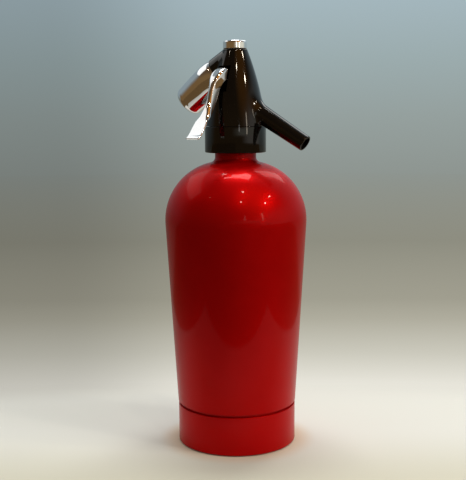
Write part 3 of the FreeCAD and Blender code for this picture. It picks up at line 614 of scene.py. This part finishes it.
def spout_radius(place):
    """The spout's radius along its line: a straight taper, and a flare near the cone."""
    share = min(max((SPOUT_FLARE[1] - place) / (SPOUT_FLARE[1] - SPOUT_FLARE[0]), 0), 1)
    return SPOUT_RADIUS - (place - SPOUT_FLARE[0]) * SPOUT_TAPER + SPOUT_SWELL * share ** 2


def boss_radius(place):
    """The boss's radius along the bulb holder's line: it widens evenly towards its mouth."""
    return BOSS_RADIUS + (place - BOSS_START) * BOSS_SWELL / BOSS_LENGTH


print("the spout is", round(2 * spout_radius(SPOUT_SIDE_END), 1), "mm wide near its tip")

# %% The outside of the cover
# The point just inside the lower corner keeps the shading of the underside flat.
cover = lathe("head_cover_black", [(0, SEAM), (22.3, SEAM)] + cone_line(0, CONE_EDGE)
              + arc((8.4, CONE_EDGE), 0.8, 0, 90, 6) + [(0, CONE_TOP)], steps=160)
spout_side = [(spout_radius(place), place) for place in range(SPOUT_START, SPOUT_SIDE_END + 1)]
spout_tip = rounded([spout_side[-1], (5.85, SPOUT_END, 0.5), (5.0, SPOUT_END)])[1:]
spout = lathe("spout", [(0, SPOUT_START)] + spout_side + spout_tip + [(0, SPOUT_END)], steps=112)
boss_places = [BOSS_START + BOSS_STEP * step for step in range(24)]
boss_side = [(boss_radius(place), place) for place in boss_places]
boss_tip = rounded([boss_side[-1], (11.3, BOSS_END, 0.5), (10.0, BOSS_END)])[1:]
boss = lathe("boss", [(0, BOSS_START)] + boss_side + boss_tip + [(0, BOSS_END)], steps=128)
lay(spout, *SPOUT_LINE)
lay(boss, *HOLDER_LINE)
edit_all(boss)
bpy.ops.mesh.bisect(plane_co=(0, 0, CONE_EDGE * MM), plane_no=(0, 0, 1), use_fill=True,
                    clear_outer=True)
bpy.ops.object.mode_set(mode="OBJECT")
combine(cover, "UNION", spout)
combine(cover, "UNION", boss)
print("the outside has", len(cover.data.vertices), "points")

# %% Smooth the joins
JOIN_FADE = 3
JOIN_PASSES = 4


def outside_cone(point, centre, radius):
    """How far a point lies outside the cone's arc, and the way out."""
    out = Vector((point.x, point.y, 0)).normalized()
    reach = Vector((math.hypot(point.x, point.y) - centre[0], point.z - centre[1]))
    return reach.length - radius, (out * reach.x + Vector((0, 0, reach.y))) / reach.length


def outside_branch(point, line, radius_at):
    """How far a point lies outside a branch of the cover, the way out, and its place along it."""
    azimuth, drop, height = line
    turn, fall = math.radians(azimuth), math.radians(drop)
    along = Vector((math.cos(turn) * math.cos(fall), math.sin(turn) * math.cos(fall),
                    -math.sin(fall)))
    rest = point - Vector((0, 0, height))
    place = rest.dot(along)
    off = rest - along * place
    return off.length - radius_at(place), off.normalized(), place


def fill_joins(piece, line, radius_at, reach, blend):
    """Moves the points near the join of a branch and the cone out to a hollow curve."""
    centre, radius = circle_through((COLLAR_RADIUS, SEAM), CONE_MIDDLE,
                                    (CONE_EDGE_RADIUS, CONE_EDGE))
    moved = 0
    for vertex in piece.data.vertices:
        point = vertex.co / MM
        room = (min(max((point.z - SEAM) / JOIN_FADE, 0), 1)
                * min(max((CONE_EDGE - point.z) / JOIN_FADE, 0), 1))
        for step in range(JOIN_PASSES):
            cone, cone_way = outside_cone(point, centre, radius)
            branch, branch_way, place = outside_branch(point, line, radius_at)
            near = max(blend - abs(cone - branch), 0) / blend
            if near == 0 or not reach[0] < place < reach[1] or min(cone, branch) < -blend / 2:
                break
            first, second = (cone_way, branch_way) if cone < branch else (branch_way, cone_way)
            way = first * (1 - near / 2) + second * near / 2
            gap = min(cone, branch) - near ** 2 * blend / 4 * room
            point -= way * gap / way.length_squared
            moved += step == 0
        vertex.co = point * MM
    return moved


print("moved", fill_joins(cover, SPOUT_LINE, spout_radius, reach=(10.0, 40.0), blend=4.0),
      "points round the spout")
print("moved", fill_joins(cover, HOLDER_LINE, boss_radius, reach=(3.0, 15.6), blend=1.5),
      "points round the boss")

# %% [markdown]
# ## The cover's inside
# The cover is hollow under its ceiling. A socket holds the mouth of the bulb holder, four ribs
# stand on the seat ring, and two lugs carry the lever's pin. They are cut to fit inside the cone
# and then joined to it, and the openings are cut last.

# %% Hollow the cover
CEILING = 289.0
UNDERSIDE = 230
COVER_BORE = 20.2
FLANGE_END = 13.8
SPACE_END = 61.0
FAR_OUT = 40
COLUMN_RIM = 12.5
RIB_ANGLES = (48.0, 100.0, 222.0, 312.0)
RIB_HALF = 1
LEVER_AZIMUTH = 261.0
SLOT_HALF = 5.4
SLOT_START = 7.5
LUG_SIDE = 7.8
PIVOT = (10.5, 275.0)


def holder_space(gap, start):
    """The space that the bulb holder's mouth needs in the cover."""
    return lathe("space", [(0, start), (MOUTH_RADIUS + gap, start), (HOLDER_WIDEST + gap, 22.0),
                           (HOLDER_WIDEST + gap, SPACE_END), (0, SPACE_END)], steps=128)


cavity = lathe("cavity", [(0, UNDERSIDE), (COVER_BORE, UNDERSIDE)] + cone_line(CONE_WALL, CEILING)
               + [(0, CEILING)], steps=160)
combine(cover, "DIFFERENCE", cavity)
socket = holder_space(1.9, FLANGE_END)
lay(socket, *HOLDER_LINE)
combine(socket, "DIFFERENCE", rod(radius=4.2, start=UNDERSIDE, end=CEILING))
ribs = [block((COLUMN_RIM, -RIB_HALF, 243.9), (FAR_OUT, RIB_HALF, 259.0), angle)
        for angle in RIB_ANGLES]
lugs = block_pair((SLOT_START, FAR_OUT), (SLOT_HALF, LUG_SIDE), (270, 280), LEVER_AZIMUTH)
fitted = lathe("fitted", [(0, SEAM + 0.2)] + cone_line(1.2, 291.0) + [(0, 291.0)], steps=160)
combine(fitted, "INTERSECT", socket, *ribs, *lugs)
combine(cover, "UNION", fitted)
print("the cover has", len(cover.data.polygons), "faces with its inside")

# %% Cut the openings
boss_bore = rod(radius=6.63, start=12.8, end=17.4)
flange_room = rod(radius=8.3, start=0, end=FLANGE_END, steps=96)
mouth = holder_space(0.4, BOSS_END)
for tool in (boss_bore, flange_room, mouth):
    lay(tool, *HOLDER_LINE)
combine(flange_room, "INTERSECT", rod(radius=30, start=UNDERSIDE, end=CEILING))
spout_bore = rod(radius=3.43, start=9.5, end=56)
nozzle_bore = rod(radius=4.73, start=55, end=70, steps=96)
for tool in (spout_bore, nozzle_bore):
    lay(tool, *SPOUT_LINE)
slot = block((SLOT_START, -SLOT_HALF, 262), (FAR_OUT, SLOT_HALF, 280.6), LEVER_AZIMUTH)


def across_lever(radius, half_length):
    """A rod along the lever's pivot."""
    piece = rod(radius, -half_length, half_length, 48)
    turn = Matrix.Rotation(math.radians(LEVER_AZIMUTH), 4, "Z")
    place = Matrix.Translation((PIVOT[0] * MM, 0, PIVOT[1] * MM))
    piece.matrix_world = turn @ (place @ Matrix.Rotation(math.pi / 2, 4, "X"))
    settle(piece)
    return piece


combine(cover, "DIFFERENCE", boss_bore, flange_room, mouth)
combine(cover, "DIFFERENCE", spout_bore, nozzle_bore)
pin_hole = across_lever(radius=1.53, half_length=7.6)
shank_hole = rod(radius=5.65, start=SHANK_LOW, end=300)
combine(cover, "DIFFERENCE", slot, pin_hole, shank_hole)
edit_all(cover)
bpy.ops.mesh.remove_doubles(threshold=0.01 * MM)
bpy.ops.mesh.delete_loose()
bpy.ops.object.mode_set(mode="OBJECT")
soften(cover, angle=30.0)
finish_piece(cover, "head", "black_gloss", black_gloss, "head_cover")

# %% [markdown]
# ## The lever
# The lever is one pressing: a steel strip folded to a channel, narrow at the waist and flat at the
# thumb end, and chromed. A grid is folded over the line of its face. At the waist the folds meet,
# so the section there is nearly half round.

# %% The lever's lines
LEVER_FACE = flowing([
    (6.5, 278.9), (12.0, 279.4), (17.5, 278.4), (22.5, 275.2), (26.5, 270.0), (29.2, 263.5),
    (31.4, 256.5), (34.0, 249.8), (37.6, 243.2), (42.2, 236.8), (46.2, 231.8), (49.4, 229.6)], 7)
CHEEK_EDGE = [(6.5, 273.6)] + flowing([
    (8.5, 271.4), (14.5, 270.8), (18.6, 268.6), (20.6, 264.0), (22.6, 258.4), (25.6, 252.8),
    (30.0, 247.6), (36.0, 242.6), (44.0, 239.0)], 5)
LEVER_HALF_WIDTHS = flowing([
    (281.0, 4.5), (276.0, 4.5), (271.5, 3.9), (267.5, 2.8), (263.0, 2.3), (256.5, 2.3),
    (251.0, 3.0), (246.0, 4.2), (241.0, 5.2), (236.5, 5.7), (231.0, 5.8), (225.0, 5.8)], 5)
LEVER_FOLD = 2.2
LEAST_FOLD = 0.3
FOLD_SHARE = 0.96
LEVER_SHEET = 1.2
ACROSS = 32
PARALLEL = 1e-9
SLACK = 0.001


def half_width_at(height):
    """Half the lever's width at a height."""
    for (high, wide), (low, narrow) in zip(LEVER_HALF_WIDTHS, LEVER_HALF_WIDTHS[1:]):
        if low <= height <= high:
            return wide + (narrow - wide) * (high - height) / (high - low)
    return LEVER_HALF_WIDTHS[-1][1]


def cheek_depth(point, way):
    """How far the cheek reaches in from a point of the face, along the way in."""
    depths = [0.0]
    for a, b in zip(CHEEK_EDGE, CHEEK_EDGE[1:]):
        edge = Vector(b) - Vector(a)
        gap = Vector(a) - point
        cross = way.x * edge.y - way.y * edge.x
        if abs(cross) < PARALLEL:
            continue
        reach = (gap.x * edge.y - gap.y * edge.x) / cross
        share = (gap.x * way.y - gap.y * way.x) / cross
        if reach > 0 and -SLACK <= share <= 1 + SLACK:
            depths.append(reach)
    return min(depths[1:], default=0.0)


stations = []
for index, place in enumerate(LEVER_FACE):
    before = Vector(LEVER_FACE[max(index - 1, 0)])
    after = Vector(LEVER_FACE[min(index + 1, len(LEVER_FACE) - 1)])
    run = (after - before).normalized()
    inward = Vector((run.y, -run.x))
    spot = Vector(place)
    stations.append((spot, inward, half_width_at(place[1]), cheek_depth(spot, inward)))
print("the lever has", len(stations), "stations, its waist is",
      round(2 * min(station[2] for station in stations), 1), "mm wide")


# %% Fold the lever
def folded(share, half, depth):
    """A point of the channel's section: its place across and its depth, from -1 to 1 across it."""
    fold = min(LEVER_FOLD, FOLD_SHARE * half, max(depth, LEAST_FOLD))
    flat = half - fold
    bend = fold * math.pi / 2
    side = max(depth - fold, 0)
    run = abs(share) * (flat + bend + side)
    if run <= flat:
        across, deep = run, 0.0
    elif run <= flat + bend:
        angle = (run - flat) / fold
        across, deep = flat + fold * math.sin(angle), fold * (1 - math.cos(angle))
    else:
        across, deep = half, fold + run - flat - bend
    return math.copysign(across, share), deep


bpy.ops.object.select_all(action="DESELECT")
bpy.ops.mesh.primitive_grid_add(x_subdivisions=ACROSS, y_subdivisions=len(stations) - 1, size=1)
lever = bpy.context.active_object
lever.name = "lever_chrome"
lever.data.name = "lever_chrome"
for vertex in lever.data.vertices:
    place, inward, half, depth = stations[round((vertex.co.y + 0.5) * (len(stations) - 1))]
    across, deep = folded(2 * vertex.co.x, half, depth)
    spot = place + inward * deep
    vertex.co = Vector((spot.x, across, spot.y)) * MM
edit_all(lever)
bpy.ops.mesh.normals_make_consistent(inside=False)
bpy.ops.object.mode_set(mode="OBJECT")
middle = lever.data.polygons[len(lever.data.polygons) // 2]
print("the middle face looks", tuple(round(v, 2) for v in middle.normal))

# %% Thicken the lever
EDGE_ROUNDING = 0.3
EDGE_ANGLE = 50


def round_edges(piece):
    """Rounds a piece's sharp edges."""
    rims = piece.modifiers.new("rims", "BEVEL")
    rims.width = EDGE_ROUNDING * MM
    rims.segments = 2
    rims.limit_method = "ANGLE"
    rims.angle_limit = math.radians(EDGE_ANGLE)
    bake(piece, rims)


solidify = lever.modifiers.new("sheet", "SOLIDIFY")
solidify.thickness = LEVER_SHEET * MM
solidify.offset = -1.0 if middle.normal.x > 0 else 1.0
solidify.use_even_offset = True
bake(lever, solidify)
round_edges(lever)
for finger in block_pair(out=(-1.5, 8.2), wide=(3.3, 4.5), high=(273.6, 276.8)):
    round_edges(finger)
    combine(lever, "UNION", finger)
lever.rotation_euler.z = math.radians(LEVER_AZIMUTH)
settle(lever)
combine(lever, "DIFFERENCE", across_lever(radius=1.55, half_length=8))
soften(lever, angle=35.0)
finish_piece(lever, "lever", "chrome", chrome, "lever")

# %% [markdown]
# ## The studio
# The siphon stands on a pale floor in front of a grey-blue backdrop. The lacquer and the chrome
# show what is round them, so the room counts as much as the lamps: the bright floor ends a little
# in front of the bottle, the room beyond it is dim and warm, and a few small lamps hang under its
# ceiling.

# %% The floor
FLOOR_RADIUS = 3000.0
FLOOR_THICKNESS = 20.0

bpy.ops.object.select_all(action="DESELECT")
bpy.ops.mesh.primitive_circle_add(vertices=96, radius=FLOOR_RADIUS * MM, fill_type="NGON")
floor = bpy.context.active_object
floor.name = "floor"
edit_all(floor)
bpy.ops.mesh.extrude_region_move(TRANSFORM_OT_translate={"value": (0, 0, -FLOOR_THICKNESS * MM)})
bpy.ops.mesh.select_all(action="SELECT")
bpy.ops.mesh.normals_make_consistent(inside=False)
bpy.ops.object.mode_set(mode="OBJECT")
floor.rotation_euler.z = math.radians(VIEW_AZIMUTH)
print("the floor has", len(floor.data.polygons), "faces")

# %% [markdown]
# ## Nodes for the studio
# The floor and the room are colours worked out from a place or a direction. Painted pictures could
# do that too, but a few nodes are sharper and can be changed by a number. These helpers make the
# nodes that both need.


# %% Helpers for numbers
def calculate(tree, operation, first, second, third=0.0):
    """A Math node on sockets or numbers, clamped to between 0 and 1."""
    node = tree.nodes.new("ShaderNodeMath")
    node.operation = operation
    node.use_clamp = True
    for index, value in enumerate((first, second, third)):
        if isinstance(value, bpy.types.NodeSocket):
            tree.links.new(value, node.inputs[index])
        else:
            node.inputs[index].default_value = value
    return node.outputs[0]


def vector_node(tree, operation, source):
    """A Vector Math node whose first input is the source."""
    node = tree.nodes.new("ShaderNodeVectorMath")
    node.operation = operation
    tree.links.new(source, node.inputs[0])
    return node


def between(tree, value, start, end):
    """0 where the value is at the start, 1 where it is at the end, and smooth in between."""
    node = tree.nodes.new("ShaderNodeMapRange")
    node.interpolation_type = "SMOOTHSTEP"
    node.inputs["From Min"].default_value = start
    node.inputs["From Max"].default_value = end
    tree.links.new(value, node.inputs["Value"])
    return node.outputs["Result"]


def ray_kind(tree, name):
    """1 for rays of one kind, such as Is Camera Ray, and 0 for the rest."""
    return tree.nodes.new("ShaderNodeLightPath").outputs[name]


print("numbers are kept between 0 and 1")

# %% Helpers for colours
DARKER = 0.69
HORIZON = (0.27, 0.30, 0.28)
ROOM = (0.17, 0.10, 0.04)
LEFT_SHADE = 0.19


def colour_steps(tree, factor, steps):
    """A ramp through colours at places between 0 and 1."""
    ramp = tree.nodes.new("ShaderNodeValToRGB")
    while len(ramp.color_ramp.elements) < len(steps):
        ramp.color_ramp.elements.new(0.5)
    for element, (place, colour) in zip(ramp.color_ramp.elements, steps):
        element.position = place
        element.color = (*colour, 1)
    tree.links.new(factor, ramp.inputs["Fac"])
    return ramp.outputs["Color"]


def darker(tree, colour):
    """The same colour, a third darker."""
    tone = vector_node(tree, "SCALE", colour)
    tone.inputs["Scale"].default_value = DARKER
    return tone.outputs[0]


print("the horizon's colour is", HORIZON)

# %% [markdown]
# ## The floor's colour
# The floor is lit only near the bottle. There its colour has painted shade that makes it darker
# towards the camera, and a painted warm glow close round the foot. Farther out it glows by itself,
# from pale to the colour of the horizon, with painted shade that makes the left a little darker.
# Clear reflections see it end in front of the bottle and beside it. The lengths below are in
# millimetres from the bottle's axis. SQUEEZE makes the pale part wider than it is deep, and FIT
# scales lengths down so that the clamped nodes can hold them.

# %% The floor's numbers
PALE = (0.69, 0.715, 0.68)
# Painted shade: the next colour makes the floor darker and yellower towards the camera.
FRONT_SHADE = (0.59, 0.595, 0.495)
FRONT_SHADE_START = 20.0
FRONT_SHADE_END = -110.0
# Painted light: the next colour is a warm glow close round the foot, as if the red body threw light
# onto the floor.
PAINTED_GLOW = (0.64, 0.56, 0.44)
PAINTED_GLOW_START = 62.0
PAINTED_GLOW_END = 44.0
LIT = 90.0
LIT_END = 144.0
FLOOR_STEPS = ((0.22, (0.80, 0.78, 0.70)), (0.29, (0.60, 0.585, 0.505)),
               (0.37, (0.43, 0.415, 0.34)), (0.42, (0.355, 0.343, 0.277)),
               (0.60, (0.27, 0.268, 0.218)), (1.0, HORIZON))
FRONT_EDGE = 205.0
SIDE_EDGE = 265.0
EDGE_BLUR = 20.0
BESIDE_START = 450.0
BESIDE_END = 300.0
SQUEEZE = 0.25
STAND_OFF = 700.0
FIT = 0.25
LEAST_DEPTH = 0.01
print("the floor is lit to", LIT, "mm")


# %% The floor's finish
def distance_from_axis(tree, place, squeeze=1.0):
    """The distance from the bottle's axis, with the width of the room squeezed or as it is."""
    scaled = vector_node(tree, "MULTIPLY", place)
    scaled.inputs[1].default_value = (squeeze, 1, 1)
    return vector_node(tree, "LENGTH", scaled.outputs[0]).outputs["Value"]


def reflected_edge(tree, across, along, glossy):
    """1 in clear reflections where the floor has ended, in front of the bottle and beside it."""
    front = between(tree, along, -FRONT_EDGE * MM, -(FRONT_EDGE + EDGE_BLUR) * MM)
    left = between(tree, across, -SIDE_EDGE * MM, -(SIDE_EDGE + EDGE_BLUR) * MM)
    right = between(tree, across, SIDE_EDGE * MM, (SIDE_EDGE + EDGE_BLUR) * MM)
    beside = calculate(tree, "MULTIPLY", calculate(tree, "MAXIMUM", left, right),
                       between(tree, along, BESIDE_START * MM, BESIDE_END * MM))
    return calculate(tree, "MULTIPLY", calculate(tree, "MAXIMUM", front, beside), glossy)


def left_shade(tree, across, along):
    """1 at the left of the view and 0 from its middle on, as the camera sees the floor."""
    aside = calculate(tree, "MULTIPLY", across, -FIT)
    depth = calculate(tree, "MULTIPLY_ADD", along, FIT, FIT * STAND_OFF * MM)
    depth = calculate(tree, "MAXIMUM", depth, LEAST_DEPTH)
    return between(tree, calculate(tree, "DIVIDE", aside, depth), 0.0, LEFT_SHADE)


def floor_finish():
    """Pale near the bottle; the far part glows by itself in the backdrop's colours."""
    material = bpy.data.materials.new("floor")
    material.use_nodes = True
    tree = material.node_tree
    shader = tree.nodes["Principled BSDF"]
    shader.inputs["Roughness"].default_value = 0.6
    shader.inputs["Specular IOR Level"].default_value = 0.0
    place = tree.nodes.new("ShaderNodeTexCoord").outputs["Object"]
    parts = tree.nodes.new("ShaderNodeSeparateXYZ")
    tree.links.new(place, parts.inputs[0])
    across, along = parts.outputs["X"], parts.outputs["Y"]
    squeezed = distance_from_axis(tree, place, SQUEEZE)
    reach = calculate(tree, "DIVIDE", squeezed, FLOOR_RADIUS * MM)
    backdrop = colour_steps(tree, calculate(tree, "POWER", reach, 0.5), FLOOR_STEPS)
    glossy = ray_kind(tree, "Is Glossy Ray")
    ended = reflected_edge(tree, across, along, glossy)
    shown = mixed(tree, ended, backdrop, ROOM)
    # Painted shade: the floor's glow is a third darker at the left of the view.
    shown = mixed(tree, left_shade(tree, across, along), shown, darker(tree, shown))
    far = between(tree, squeezed, LIT * MM, LIT_END * MM)
    far = calculate(tree, "MAXIMUM", far, ended)
    # Painted shade: the floor's colour turns darker and yellower towards the camera.
    front_shade_mask = between(tree, along, FRONT_SHADE_START * MM, FRONT_SHADE_END * MM)
    pale = mixed(tree, front_shade_mask, PALE, FRONT_SHADE)
    # Painted light: a warm glow on the floor close round the bottle's foot.
    painted_glow_mask = between(tree, distance_from_axis(tree, place), PAINTED_GLOW_START * MM, PAINTED_GLOW_END * MM)
    pale = mixed(tree, painted_glow_mask, pale, PAINTED_GLOW)
    tree.links.new(mixed(tree, far, pale, (0, 0, 0)), shader.inputs["Base Color"])
    tree.links.new(shown, shader.inputs["Emission Color"])
    straight = calculate(tree, "MAXIMUM", glossy, ray_kind(tree, "Is Camera Ray"))
    tree.links.new(calculate(tree, "MULTIPLY", far, straight), shader.inputs["Emission Strength"])
    return material


floor.data.materials.append(floor_finish())
print("made the floor's finish")

# %% [markdown]
# ## The room
# The world's colour depends on the direction. The camera sees the backdrop all round, with painted
# shade that makes it a little darker at the left. Clear reflections see the backdrop behind the
# bottle and a dim warm room in front of it. The room has a dark ceiling, a pale wall at the right,
# an orange glow high at the front right and a pale band low down. The rest of the light is plain
# and soft.

# %% The room's numbers
HORIZON_DIP = 0.07
BACKDROP_STEPS = ((0.0, HORIZON), (0.06, (0.30, 0.35, 0.34)), (0.12, (0.33, 0.41, 0.42)),
                  (0.18, (0.37, 0.47, 0.51)), (0.7, (0.40, 0.48, 0.52)))
RIGHT_WALL = (0.75, 0.68, 0.60)
DARK_ABOVE = (0.10, 0.06, 0.03)
ORANGE = (0.60, 0.23, 0.03)
ORANGE_WAY = (0.478, -0.569, 0.669)
LOW_BAND = (0.75, 0.73, 0.60)
SOFT_LIGHT = (0.30, 0.29, 0.28)
WALL_SPAN = (0.35, 0.85)
ABOVE_SPAN = (0.2, 0.5)
ORANGE_SPAN = (0.80, 0.99)
BAND_TOP = (0.14, 0.10)
BAND_FOOT = (0.01, 0.04)
BAND_SPAN = (-0.3, 0.5)
BEHIND_SPAN = (-0.2, 0.4)
print("the backdrop has", len(BACKDROP_STEPS), "steps")


# %% The room's colours
def room_colour(tree, way, sideways, upward):
    """What stands in front of the bottle, as clear reflections see it."""
    room = mixed(tree, between(tree, sideways, *WALL_SPAN), ROOM, RIGHT_WALL)
    room = mixed(tree, between(tree, upward, *ABOVE_SPAN), room, DARK_ABOVE)
    likeness = vector_node(tree, "DOT_PRODUCT", way)
    likeness.inputs[1].default_value = ORANGE_WAY
    room = mixed(tree, between(tree, likeness.outputs["Value"], *ORANGE_SPAN), room, ORANGE)
    low = calculate(tree, "MULTIPLY", between(tree, upward, *BAND_TOP),
                    between(tree, upward, *BAND_FOOT))
    low = calculate(tree, "MULTIPLY", low, between(tree, sideways, *BAND_SPAN))
    return mixed(tree, low, room, LOW_BAND)


world = bpy.data.worlds.new("room")
scene.world = world
world.use_nodes = True
tree = world.node_tree
view_turn = tree.nodes.new("ShaderNodeMapping")
view_turn.vector_type = "VECTOR"
view_turn.inputs["Rotation"].default_value = (0, 0, math.radians(-VIEW_AZIMUTH))
way = tree.nodes.new("ShaderNodeTexCoord").outputs["Generated"]
tree.links.new(way, view_turn.inputs["Vector"])
direction = tree.nodes.new("ShaderNodeSeparateXYZ")
tree.links.new(view_turn.outputs[0], direction.inputs[0])
sideways, away, upward = direction.outputs
height = calculate(tree, "ADD", upward, HORIZON_DIP)
backdrop = colour_steps(tree, height, BACKDROP_STEPS)
# Painted shade: the backdrop is a third darker at the left.
backdrop = mixed(tree, between(tree, sideways, 0.0, -LEFT_SHADE), backdrop, darker(tree, backdrop))
room = room_colour(tree, view_turn.outputs[0], sideways, upward)
room = mixed(tree, between(tree, away, *BEHIND_SPAN), room, backdrop)
soft = mixed(tree, ray_kind(tree, "Is Glossy Ray"), SOFT_LIGHT, room)
tree.links.new(mixed(tree, ray_kind(tree, "Is Camera Ray"), soft, backdrop),
               tree.nodes["Background"].inputs["Color"])
print("the room has", len(tree.nodes), "nodes")

# %% [markdown]
# ## The lamps
# A few small warm lamps give the sharp points of light on the shoulder and on the cone. Three soft
# panels hang behind and above the bottle and draw the pale sheen on top of its shoulder. The key
# lights the right of the bottle without showing in it. Lengths are in millimetres, powers in
# watts.
# %% Hang the lamps
AIM = Vector((0, 0, 190 * MM))


def hang(name, bearing, elevation, distance, size, power, colour, tall=0):
    """Hangs a lamp at a bearing from the away direction and an elevation, aimed at AIM."""
    turn = math.radians(VIEW_AZIMUTH) + math.radians(90 - bearing)
    rise = math.radians(elevation)
    out = Vector((math.cos(turn) * math.cos(rise), math.sin(turn) * math.cos(rise), math.sin(rise)))
    bpy.ops.object.select_all(action="DESELECT")
    bpy.ops.object.light_add(type="AREA", location=AIM + out * distance * MM)
    lamp = bpy.context.active_object
    lamp.name = name
    lamp.rotation_euler = out.to_track_quat("Z", "Y").to_euler()
    lamp.data.shape = "RECTANGLE" if tall else "DISK"
    lamp.data.size = size * MM
    if tall:
        lamp.data.size_y = tall * MM
    lamp.data.energy = power
    lamp.data.color = colour
    lamp.visible_camera = False
    return lamp


WARM = (1.0, 0.86, 0.68)
WHITE = (1.0, 0.97, 0.93)
LAMPS_OFF = 1300
PANELS_OFF = 1400
KEY_OFF = 1500
# Each call says the lamp's bearing, elevation, distance, size, power and colour.
hang("lamp_front", 170, 41, LAMPS_OFF, 64, 0.9, WARM)
hang("lamp_high", 159, 60, LAMPS_OFF, 70, 1.0, WARM)
hang("lamp_right", 124, 32, LAMPS_OFF, 76, 1.6, WARM)
hang("lamp_far_right", 108, 40, LAMPS_OFF, 70, 1.1, WARM)
hang("lamp_left", -125, 44, LAMPS_OFF, 30, 0.15, WARM)
hang("strip_right", 137, 11, LAMPS_OFF, 70, 0.45, WARM, tall=330)
hang("window_front", 166, 10, LAMPS_OFF, 90, 0.13, WHITE, tall=170)
hang("panel_above", 5, 78, PANELS_OFF, 700, 11.5, WHITE, tall=380)
hang("panel_left", -60, 41, PANELS_OFF, 1350, 2.0, WHITE, tall=500)
hang("panel_right", 37, 46, PANELS_OFF, 330, 2.4, WHITE, tall=850)
key = hang("key", 118, 34, KEY_OFF, 700, 7.5, WHITE)
key.visible_glossy = False

# %% [markdown]
# ## The end
# The colours are shown as they are.

# %% Show the colours as they are
scene.view_settings.view_transform = "Standard"
